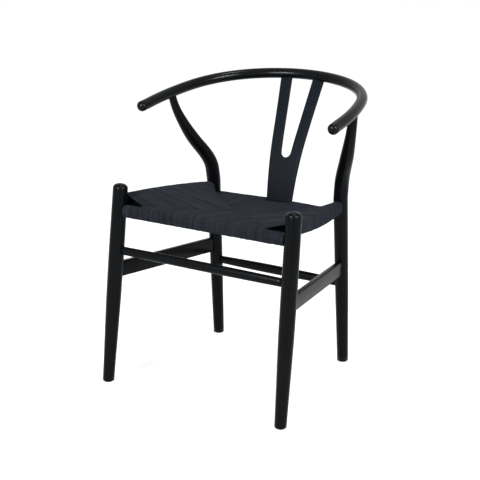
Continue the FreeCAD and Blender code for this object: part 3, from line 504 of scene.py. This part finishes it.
def drawn_in(loop, depth):
    """A loop moved inwards by depth, or less at a sharp corner."""
    ways = np.roll(loop, -1, 0) - np.roll(loop, 1, 0)
    ways /= np.linalg.norm(ways, axis=1)[:, None]
    return loop + depth * np.column_stack([-ways[:, 1], ways[:, 0]])


def splat_solid(material):
    """The plywood Y: rims of its outline for the edge, and two faces filled between them."""
    loop = splat_outline()
    turns = np.radians(np.linspace(0, 90, 5))
    rims = [(SPLAT_EASE * (1 - math.cos(t)), SPLAT_HALF - SPLAT_EASE * (1 - math.sin(t)))
            for t in turns]
    levels = [(depth, -half) for depth, half in reversed(rims)] + rims
    sides, flat, heights = len(loop), [], []
    for depth, half in levels:
        flat.append(drawn_in(loop, depth))
        heights.append(np.full(sides, half))
    faces = [(i * sides + j, i * sides + (j + 1) % sides,
              (i + 1) * sides + (j + 1) % sides, (i + 1) * sides + j)
             for i in range(len(levels) - 1) for j in range(sides)]
    rim = drawn_in(loop, SPLAT_EASE)
    grid = [Vector((x, z)) for x in np.arange(-60, 61, SPLAT_GRID)
            for z in np.arange(SPLAT_FOOT[1] + SPLAT_GRID, SPLAT_HEAD[1] - 3, SPLAT_GRID)]
    points = [Vector(place) for place in rim] + grid
    edges = [(j, (j + 1) % sides) for j in range(sides)]
    places, _, patches, origins, _, _ = delaunay_2d_cdt(points, edges, [], 1, 1e-4)
    # The two faces share the rim's points with the outermost rims; their others are new.
    for level, half in ((0, -SPLAT_HALF), (len(levels) - 1, SPLAT_HALF)):
        start = sum(len(part) for part in flat)
        number, fresh = [], []
        for place, origin in zip(places, origins):
            ring = [o for o in origin if o < sides]
            number.append(level * sides + ring[0] if ring else start + len(fresh))
            if not ring:
                fresh.append(place)
        flat.append(np.array([tuple(place) for place in fresh]))
        heights.append(np.full(len(fresh), half))
        for patch in patches:
            face = tuple(number[i] for i in patch)
            faces.append(face if level else face[::-1])
    flat, heights = np.vstack(flat), np.concatenate(heights)
    used = np.unique([i for face in faces for i in face])
    renumber = {old: new for new, old in enumerate(used)}
    faces = [tuple(renumber[i] for i in face) for face in faces]
    places = []
    for (x, z), height in zip(flat[used], heights[used]):
        y, lean = splat_middle(z)
        places.append((x, y - height * math.cos(lean), z + height * math.sin(lean)))
    timber = np.column_stack([flat[used][:, 1], flat[used][:, 0], heights[used]])
    return solid("splat_board", places, faces, material, timber)


splat_wood_with_sheen = lacquer("lacquer_splat_painted_sheen", lambda finish: finish.carried("timber"), SPLAT_SHEEN_BLACK,
                     SPLAT_SHEEN_RUBBED, SPLAT_SATIN, SPLAT_GLOSS)
stand_in(splat_solid(splat_wood_with_sheen), "lacquered_wood", "back_splat")


# Glides: a disc of black plastic nailed under each foot, with a softly turned edge, so
# that the chair slides over a floor without marking it.

GLIDE_RADIUS, GLIDE_EASE = 11.5, 0.8
GLIDE_BLACK, GLIDE_GREY = (0.008, 0.008, 0.009), (0.016, 0.016, 0.018)
GLIDE_GRAIN, GLIDE_RELIEF = 700, 0.00005

plastic = Finish("glide_plastic", Specular_IOR_Level=0.3)
mottle = plastic.noise(plastic.place(), GLIDE_GRAIN, 3)
plastic.feed(Base_Color=plastic.blend(mottle, GLIDE_BLACK, GLIDE_GREY),
             Roughness=plastic.spread(mottle, 0.38, 0.55))
plastic.relief(mottle, GLIDE_RELIEF)
for end, foot in (("front", FRONT_FOOT), ("rear", REAR_FOOT)):
    for name, side in SIDES:
        turns = np.radians(np.linspace(90, 0, 6))
        heights = np.append(GLIDE_EASE * (1 - np.sin(turns)), (1.4, 2.0, GLIDE_THICKNESS + 0.3))
        radii = np.append(GLIDE_RADIUS - GLIDE_EASE * (1 - np.cos(turns)), (GLIDE_RADIUS,) * 3)
        middle = mirrored(foot, side)
        disc = limb(f"glide_disc_{end}_{name}", middle + heights[:, None] * (0, 0, 1),
                    radii[:, None] * (1, 0, 0), radii[:, None] * (0, 1, 0), ROUND,
                    plastic.material)
        stand_in(disc, "glide_plastic", f"glide_{end}_{name}")


# Cord tacks: small flat-headed steel tacks in the inner faces of the side rails, which
# hold the two ends of the cord.

STEEL_DARK, STEEL_BRIGHT, STEEL_GRAIN = (0.30, 0.30, 0.31), (0.48, 0.48, 0.50), 1200

steel = Finish("tack_steel", Metallic=1.0)
rolled = steel.noise(steel.place(), STEEL_GRAIN, 3)
steel.feed(Base_Color=steel.blend(rolled, STEEL_DARK, STEEL_BRIGHT),
           Roughness=steel.spread(rolled, 0.28, 0.45))
dress("cord_tacks", steel.material)


# Woven seat: one long three-ply paper cord, wound round the four rails. Each strand
# comes over its rail, runs to a diagonal seam, dives there between its neighbours and
# goes back under the rail. A ridge in the middle of the seat joins the four seams.

CORD_RADIUS, CORD_PITCH = 1.78, 3.6
CORD_BLACK, CORD_GREY = (0.0139, 0.0172, 0.0232), (0.0428, 0.0490, 0.0610)
CORD_SIDES, CORD_WANDER, WANDER_LENGTH, CORD_SLACK = 6, 0.0003, 0.02, 0.7
PLIES, PLY_TURN, CORD_RELIEF = 3, 9.5, 0.0005
CORD_FIBRE, CORD_PATCHES = (700, 6, 1), 26
CUT_END = 0.004  # share of its girth to which a strand closes at its ends
STRAND_SEED = 11

# Middle of the right side rail at its two ends, and its section.
SIDE_RAIL_START = np.array((240.7, -223.9, 464))
SIDE_RAIL_END = np.array((189.4, 129.5, 436.5))
SIDE_RAIL = {"half": 10.5, "rise": 9, "crown": 5, "belly": 10.5, "rounding": 4.5}
# Ends of the seams: x, y, and the heights of the upper and the lower layer.
RIDGE, TIP = np.array((16.5, -47, 428.3, 416.8)), np.array((169, -220, 456.7, 425.0))
CORNER, SIDE_CORNER = np.array((174.5, 115, 419.3, 401.5)), np.array((174.5, 115, 419.3, 413))
# Strands over a side rail: y of the first and the last, and where these meet the seam,
# from its outer corner at 0 to the ridge at 1.
FRONT_FIELD = {"ends": (-201.5, -49.3), "count": 42, "corner": TIP, "shares": (0, 0.957)}
REAR_FIELD = {"ends": (-44.5, 108.5), "count": 43, "corner": SIDE_CORNER, "shares": (0.968, 0)}
# Points by which a strand dives at the seam, past it and up from it: where it lies over
# its neighbours, where it lies under them, and in the lower layer.
OVER_DIVE = ((4.2, -7.5), (4.0, -3.4), (2.4, -0.5))
UNDER_DIVE, UNDER_BACK = ((1.6, -8.5), (1.2, -4.6), (-0.6, -1.3)), 4.0
LOWER_DIVE = ((1.5, 2.0), (2.0, 5.5))
# Longest straight runs between two points of a strand and of a wrap, the shortest way
# from a rail's middle to the seam, and how far inside the seam the outermost strand is.
STRAND_RUN, WRAP_RUN, SHORTEST_REACH, STRAND_INSET = 42, 30, 14.5, 1.2
# Extra wraps beside the legs: x of the first and the last, how far in they reach, and
# how far they go down there from the top and up from below.
WRAP_ENDS, WRAP_REACH, WRAP_DIVES = (171.5, 221), 36, (8.0, 6.0)
SPLAT_CLEAR = 39  # half the width over which strands part for the splat's foot


def board_section(bulge):
    """A side rail's section with a cord's radius all round, from its middle,
    anticlockwise. bulge is how much of its crown and belly it has there."""
    high = SIDE_RAIL["rise"] + SIDE_RAIL["crown"] * bulge + CORD_PITCH / 2
    low = -SIDE_RAIL["rise"] - SIDE_RAIL["belly"] * bulge - CORD_PITCH / 2
    rounding = SIDE_RAIL["rounding"] + CORD_PITCH / 2
    flat = SIDE_RAIL["half"] + CORD_PITCH / 2 - rounding
    return [(x * flat + rounding * math.cos(turn),
             (high - rounding if y > 0 else low + rounding) + rounding * math.sin(turn))
            for quarter, (x, y) in enumerate(((1, 1), (-1, 1), (-1, -1), (1, -1)))
            for turn in np.radians(np.array((0, 45, 90)) + 90 * quarter)]


def oval_section(rail, x, slack):
    """The front or the rear rail's section at x with a cord's radius all round, and the
    strand's slack under it."""
    _, z, rise = rail_line(rail, x)
    grown = oval(16, RAIL_OVAL) * (rail["half"] + CORD_PITCH / 2, rise + CORD_PITCH / 2)
    lowest = grown[:, 1].min()
    return [(d, z + h - slack * (h < lowest + 2)) for d, h in grown]


def pulled_taut(rail, first, last):
    """The shortest way from first round the rail's section and back to last."""
    def turns_in(a, b, c):
        return (b[0] - a[0]) * (c[1] - a[1]) - (b[1] - a[1]) * (c[0] - a[0]) <= 1e-6

    def half_hull(points):
        chain = []
        for point in points:
            while len(chain) > 1 and turns_in(chain[-2], chain[-1], point):
                chain.pop()
            chain.append(point)
        return chain[:-1]

    points = sorted(set(rail + [first, last]))
    hull = half_hull(points) + half_hull(points[::-1])
    start = hull.index(first)
    return hull[start:] + hull[:start]


def paced(path, longest):
    """Points put into the long straight runs of a path."""
    stations = [path[0]]
    for a, b in zip(path, path[1:]):
        parts = max(1, math.ceil(math.dist(a, b) / longest))
        step = np.array(b) - a
        stations += [tuple(np.array(a) + step * i / parts) for i in range(1, parts + 1)]
    return stations


def wound(rail, reach, top, low, over):
    """One strand in its own upright plane: out of the seam, over and under its rail, and
    back to the seam. over says whether it lies over its neighbours at the seam."""
    taut = paced(pulled_taut(rail, (reach, top), (reach, low)), STRAND_RUN)
    if not over:
        drop = (taut[1][1] - taut[0][1]) * UNDER_BACK / (reach - taut[1][0])
        taut[0] = (reach - UNDER_BACK, taut[0][1] + drop)
    start = [(reach + d, top + h) for d, h in (OVER_DIVE if over else UNDER_DIVE)]
    return start + taut + [(reach + d, low + h) for d, h in LOWER_DIVE]


def seam(share, outer):
    """A place on the seam from an outer corner, at 0, to the ridge, at 1."""
    return outer + (RIDGE - outer) * share


def across_strands(rail, outer, inwards, over_left):
    """Strands that run from front to back over the front or the rear rail, some of them
    a little slack under it."""
    strands = []
    end = outer[0] - STRAND_INSET
    for x in np.linspace(-end, end, round(2 * end / CORD_PITCH) + 1):
        _, y, top, low = seam(min(1, (outer[0] - abs(x)) / (outer[0] - RIDGE[0])), outer)
        start = rail_line(rail, x)[0]
        reach = max((y - start) * inwards, SHORTEST_REACH)
        slack = CORD_SLACK * chance.random() ** 3
        path = wound(oval_section(rail, x, slack), reach, top, low, (x < 0) == over_left)
        strands.append([(x, start + inwards * d, z) for d, z in path])
    return strands


def parted(strands):
    """Strands at the splat's foot, each cut into one in front of it and one behind."""
    whole = []
    for strand in strands:
        if abs(strand[0][0]) > SPLAT_CLEAR:
            whole.append(strand)
            continue
        x, level = strand[0][0], REAR_RAIL["z"] + REAR_RAIL["rise"] + CORD_PITCH / 2
        y = splat_middle(level)[0]
        near, far = y - SPLAT_HALF - CORD_RADIUS, y + SPLAT_HALF + CORD_RADIUS
        top = next(i for i, place in enumerate(strand) if place[1] > near)
        behind = next(i for i, place in enumerate(strand) if place[1] > far)
        whole.append(strand[:top] + [(x, near, level)])
        whole.append([(x, far, level)] + strand[behind:])
    return whole


def side_strands(side, over_front, over_rear):
    """Strands that run from a side rail to its two seams."""
    strands = []
    for field, over in ((FRONT_FIELD, over_front), (REAR_FIELD, over_rear)):
        for turn in np.linspace(0, 1, field["count"]):
            y, share = (start + (end - start) * turn
                        for start, end in (field["ends"], field["shares"]))
            along = (y - SIDE_RAIL_START[1]) / (SIDE_RAIL_END[1] - SIDE_RAIL_START[1])
            x, _, z = SIDE_RAIL_START + (SIDE_RAIL_END - SIDE_RAIL_START) * along
            x_seam, y_seam, top, low = seam(share, field["corner"])
            run = np.array((x_seam - x, y_seam - y))
            reach = np.linalg.norm(run)
            run /= reach
            path = wound(board_section(4 * along * (1 - along)), reach, top - z, low - z, over)
            strands.append([(side * (x + run[0] * d), y + run[1] * d, z + h) for d, h in path])
    return strands


def corner_wraps(rail):
    """Extra turns round the front rail beside the legs, whose ends go in under the weave."""
    strands, (near, far) = [], WRAP_ENDS
    for x in np.linspace(near, far, round((far - near) / CORD_PITCH) + 1):
        for side in (-1, 1):
            section = oval_section(rail, x, CORD_SLACK * chance.random() ** 3)
            top = (WRAP_REACH, max(z for _, z in section) - WRAP_DIVES[0])
            low = (WRAP_REACH, min(z for _, z in section) + WRAP_DIVES[1])
            taut = paced(pulled_taut(section, top, low), WRAP_RUN)
            strands.append([(side * x, rail["y"] + d, z) for d, z in taut])
    return strands


def cord_winding():
    """The tree that turns the strands' routes into cord: a little wander, a tapered end,
    and a place along and round each strand for its ply."""
    tree = bpy.data.node_groups.new("cord_winding", "GeometryNodeTree")
    sockets = {}
    for label, kind in (("Routes", "Geometry"), ("Cord Radius", "Float"), ("Sides", "Int"),
                        ("Wander", "Float"), ("Wander Length", "Float"), ("Seed", "Float"),
                        ("Finish", "Material")):
        sockets[label] = tree.interface.new_socket(
            name=label, in_out="INPUT", socket_type=f"NodeSocket{kind}").identifier
    tree.interface.new_socket(name="Cord", in_out="OUTPUT", socket_type="NodeSocketGeometry")
    sizes = tree.nodes.new("NodeGroupInput").outputs

    def step(kind, settings=None, inputs=None):
        return add_node(tree, kind, settings, inputs)

    curves = step("GeometryNodeMeshToCurve", inputs={"Mesh": sizes["Routes"]})
    place = step("GeometryNodeInputPosition")
    stray = step("ShaderNodeTexNoise", {"noise_dimensions": "4D"}, {
        "Vector": place.outputs[0], "W": sizes["Seed"], "Detail": 1.0,
        "Scale": 1.0 / Shade(tree, sizes["Wander Length"])})
    centred = step("ShaderNodeVectorMath", {"operation": "SUBTRACT"}, {
        0: stray.outputs["Color"], 1: (0.5, 0.5, 0.5)})
    # The noise keeps within about a quarter of its middle, so four times it is a whole.
    shift = step("ShaderNodeVectorMath", {"operation": "SCALE"}, {
        0: centred.outputs[0], "Scale": Shade(tree, sizes["Wander"]) * 4.0})
    moved = step("GeometryNodeSetPosition", inputs={
        "Geometry": curves.outputs[0], "Offset": shift.outputs[0]})
    along = step("GeometryNodeCaptureAttribute", inputs={"Geometry": moved.outputs[0]})
    along.capture_items.new("FLOAT", "Along")
    tree.links.new(step("GeometryNodeSplineParameter").outputs["Length"], along.inputs["Along"])
    ring = step("GeometryNodeCurveArc", inputs={
        "Resolution": Shade(tree, sizes["Sides"]) + 1.0, "Radius": 1.0,
        "Start Angle": 0.0, "Sweep Angle": math.tau})
    around = step("GeometryNodeCaptureAttribute", inputs={"Geometry": ring.outputs["Curve"]})
    around.capture_items.new("FLOAT", "Around")
    tree.links.new(step("GeometryNodeSplineParameter").outputs["Factor"], around.inputs["Around"])
    girth = step("GeometryNodeInputNamedAttribute", {"data_type": "FLOAT"}, {"Name": "girth"})
    tube = step("GeometryNodeCurveToMesh", inputs={
        "Curve": along.outputs["Geometry"], "Profile Curve": around.outputs["Geometry"],
        "Scale": Shade(tree, girth.outputs[0]) * Shade(tree, sizes["Cord Radius"])})
    ply = step("ShaderNodeCombineXYZ", inputs={
        "X": along.outputs["Along"], "Y": around.outputs["Around"]})
    corners = {"data_type": "FLOAT2", "domain": "CORNER"}
    mapped = step("GeometryNodeStoreNamedAttribute", corners, {
        "Geometry": tube.outputs[0], "Name": "ply", "Value": ply.outputs[0]})
    closed = step("GeometryNodeMergeByDistance", inputs={
        "Geometry": mapped.outputs[0], "Distance": 0.02 * MM})
    smooth = step("GeometryNodeSetShadeSmooth", inputs={"Geometry": closed.outputs[0]})
    real = step("GeometryNodeRealizeInstances", inputs={"Geometry": smooth.outputs[0]})
    finished = step("GeometryNodeSetMaterial", inputs={
        "Geometry": real.outputs[0], "Material": sizes["Finish"]})
    step("NodeGroupOutput", inputs={"Cord": finished.outputs[0]})
    return tree, sockets


def cord_piece(name, strands):
    """A mesh of cords along the given strands, which are lists of points."""
    tree, sockets = winding
    places, edges, girth, tint = [], [], [], []
    for strand in strands:
        start = len(places)
        places += [tuple(np.array(place) * MM) for place in strand]
        edges += [(i, i + 1) for i in range(start, len(places) - 1)]
        girth += [CUT_END] + [1.0] * (len(strand) - 2) + [CUT_END]
        tint += [chance.random()] * len(strand)
    routes = bpy.data.meshes.new(f"{name}_routes")
    routes.from_pydata(places, edges, [])
    for label, values in (("girth", girth), ("tint", tint)):
        routes.attributes.new(label, "FLOAT", "POINT").data.foreach_set("value", values)
    guide = bpy.data.objects.new(f"{name}_routes", routes)
    bpy.context.scene.collection.objects.link(guide)
    modifier = guide.modifiers.new("winding", "NODES")
    modifier.node_group = tree
    for label, value in (("Cord Radius", CORD_RADIUS * MM), ("Sides", CORD_SIDES),
                         ("Wander", CORD_WANDER), ("Wander Length", WANDER_LENGTH),
                         ("Seed", float(STRAND_SEED)), ("Finish", cord.material)):
        modifier[sockets[label]] = value
    graph = bpy.context.evaluated_depsgraph_get()
    mesh = bpy.data.meshes.new_from_object(guide.evaluated_get(graph))
    guide.modifiers.remove(modifier)
    bpy.data.objects.remove(guide)
    mesh.name = name
    piece = bpy.data.objects.new(name, mesh)
    bpy.context.scene.collection.objects.link(piece)
    stand_in(piece, "paper_cord", "woven_seat")


cord = Finish("paper_cord", Specular_IOR_Level=0.02)
ply_place = cord.shade("ShaderNodeSeparateXYZ", inputs={0: cord.carried("ply")})
ply_along, ply_around = (Shade(cord.tree, ply_place.socket.node.outputs[i]) for i in (0, 1))
twist = (ply_around * (PLIES * math.pi)
         + ply_along * (PLIES * math.pi / (PLY_TURN * MM))).wave()
fibre = cord.noise(cord.stretched(cord.carried("ply"), CORD_FIBRE), 1.0, 3, 0.7)
patch = cord.noise(cord.place(), CORD_PATCHES, 3)
fading = cord.carried("tint", "Fac") * 0.45 + patch * 0.35 + fibre * 0.3
cord.feed(Base_Color=cord.blend(fading, CORD_BLACK, CORD_GREY),
          Roughness=cord.spread(fibre, 0.68, 0.9))
cord.relief(twist * 0.8 + fibre * 0.2, CORD_RELIEF, 0.6)

chance = np.random.default_rng(STRAND_SEED)
winding = cord_winding()
front = across_strands(FRONT_RAIL, TIP, 1, False) + corner_wraps(FRONT_RAIL)
rear = parted(across_strands(REAR_RAIL, CORNER, -1, True))
cord_piece("seat_cords_front", front)
cord_piece("seat_cords_rear", rear)
cord_piece("seat_cords_left", side_strands(-1, True, False))
cord_piece("seat_cords_right", side_strands(1, False, True))


# Inside the seat: the lengths of cord that lie packed between the two layers and that
# little light reaches, as closed wedges from post to post, coloured as painted shade.

# Posts in the right half: x, y, and their lowest and highest point.
POSTS = {"centre": (0, RIDGE[1], 417, 421), "ridge": (RIDGE[0], RIDGE[1], 417, 419.5),
         "front": (0, -214, 429, 450), "tip": (160, -208, 429, 445.5),
         "near": (223, -199, 448, 458), "middle": (206, RIDGE[1], 436, 457),
         "far": (182, 104, 428, 434), "corner": (166, 120, 402, 407),
         "rear": (0, 139, 394, 415)}
WEDGES = ("near tip ridge", "near ridge middle", "middle ridge far", "far ridge corner",
          "front centre ridge", "front ridge tip", "rear ridge centre", "rear corner ridge")
# Painted shade: the cord's black made several times darker for the inside of the seat.
INNER_SHADE_BLACK, INNER_SHADE_GREY = (0.0012, 0.0014, 0.0018), (0.0040, 0.0046, 0.0058)
INNER_GRAIN, INNER_RELIEF = 280, 0.0008

shaded = Finish("paper_cord_painted_shade", Roughness=0.95, Specular_IOR_Level=0.02)
packed = shaded.noise(shaded.place(), INNER_GRAIN, 2)
shaded.feed(Base_Color=shaded.blend(packed, INNER_SHADE_BLACK, INNER_SHADE_GREY))
shaded.relief(packed, INNER_RELIEF)

places, faces = [], []
for side in (-1, 1):
    for names in WEDGES:
        start = len(places)
        low, high = [start, start + 2, start + 4], [start + 1, start + 3, start + 5]
        for post in names.split()[::side]:
            x, y, *levels = POSTS[post]
            places += [(side * x, y, level) for level in levels]
        faces += [tuple(low), tuple(high[::-1])]
        faces += [(low[i - 2], low[i], high[i], high[i - 2]) for i in range(3)]
inner = solid("seat_cords_inner", places, faces, shaded.material)
stand_in(inner, "paper_cord", "woven_seat")


# Studio: a pale floor that runs off to white, small lamps above, to the right and in
# front, two broad panes that show only as a sheen, and even light all round.

FLOOR_REACH, FLOOR_GREY, FLOOR_SEEN, WORLD_LIGHT = 12.0, 0.86, 0.68, 0.4

world = bpy.data.worlds.new("studio")
world.use_nodes = True
bpy.context.scene.world = world
floor_mesh = bpy.data.meshes.new("floor")
floor_mesh.from_pydata([(x * FLOOR_REACH, y * FLOOR_REACH, 0)
                        for x, y in ((-1, -1), (1, -1), (1, 1), (-1, 1))], [], [(0, 1, 2, 3)])
floor = bpy.data.objects.new("floor", floor_mesh)
bpy.context.scene.collection.objects.link(floor)


def directly_seen(tree):
    """1 where the camera looks, straight or in a gloss or through something clear."""
    path = add_node(tree, "ShaderNodeLightPath")
    seen, mirrored_in, through = (Shade(tree, path.outputs[f"Is {kind} Ray"])
                                  for kind in ("Camera", "Glossy", "Transmission"))
    return seen + mirrored_in + through


backdrop = world.node_tree.nodes["Background"]
backdrop.inputs["Color"].default_value = (1, 1, 1, 1)
strength = directly_seen(world.node_tree) * (1 - WORLD_LIGHT) + WORLD_LIGHT
world.node_tree.links.new(strength.socket, backdrop.inputs["Strength"])
ground = Finish("pale_floor", Roughness=0.9, Specular_IOR_Level=0.0, Emission_Strength=1.0,
                Base_Color=(FLOOR_GREY, FLOOR_GREY, FLOOR_GREY, 1))
ground.feed(Emission_Color=ground.blend(directly_seen(ground.tree), (0, 0, 0), (FLOOR_SEEN,) * 3))
floor_mesh.materials.append(ground.material)


def lamp(name, place, aim, size, power):
    """A lit pane in metres and watts that faces aim."""
    data = bpy.data.lights.new(name, "AREA")
    data.shape, data.size, data.size_y, data.energy = "RECTANGLE", *size, power
    obj = bpy.data.objects.new(name, data)
    obj.location = place
    obj.rotation_euler = (Vector(aim) - Vector(place)).to_track_quat("-Z", "Y").to_euler()
    bpy.context.scene.collection.objects.link(obj)
    return obj


lamp("overhead", (0.2, 0.1, 2.9), (0, 0, 0.4), (0.26, 0.26), 16)
lamp("right", (2.4, -0.8, 1.1), (0, 0, 0.5), (0.25, 0.4), 22)
lamp("front", (-0.6, -2.5, 1.6), (0, 0, 0.5), (0.35, 0.7), 31)
for name, place, size, power in (("sheen_right", (2.4, -1.0, 2.0), (1.5, 0.5), 150),
                                 ("sheen_front", (-0.3, -2.7, 1.35), (1.0, 0.6), 95)):
    lamp(name, place, (0, 0.2, 0.73), size, power).visible_diffuse = False

AZIMUTH, ELEVATION, ROLL = math.radians(30.47), math.radians(16.38), math.radians(1.0)
DISTANCE, TARGET = 2.6953, Vector((0.0121, -0.0689, 0.3648))
FRAME_PIXELS, FOCAL_PIXELS = 480, 1086.5
camera = bpy.data.objects.new("camera", bpy.data.cameras.new("camera"))
bpy.context.scene.collection.objects.link(camera)
bpy.context.scene.camera = camera
camera.data.sensor_width = 36
camera.data.lens = FOCAL_PIXELS / FRAME_PIXELS * camera.data.sensor_width
back = Vector((math.sin(AZIMUTH) * math.cos(ELEVATION),
               -math.cos(AZIMUTH) * math.cos(ELEVATION), math.sin(ELEVATION)))
level = Vector((math.cos(AZIMUTH), math.sin(AZIMUTH), 0))
lift = back.cross(level)
across = level * math.cos(ROLL) + lift * math.sin(ROLL)
upward = lift * math.cos(ROLL) - level * math.sin(ROLL)
camera.matrix_world = (Matrix.Translation(TARGET + back * DISTANCE)
                       @ Matrix((across, upward, back)).transposed().to_4x4())
bpy.context.scene.view_settings.view_transform = "Standard"
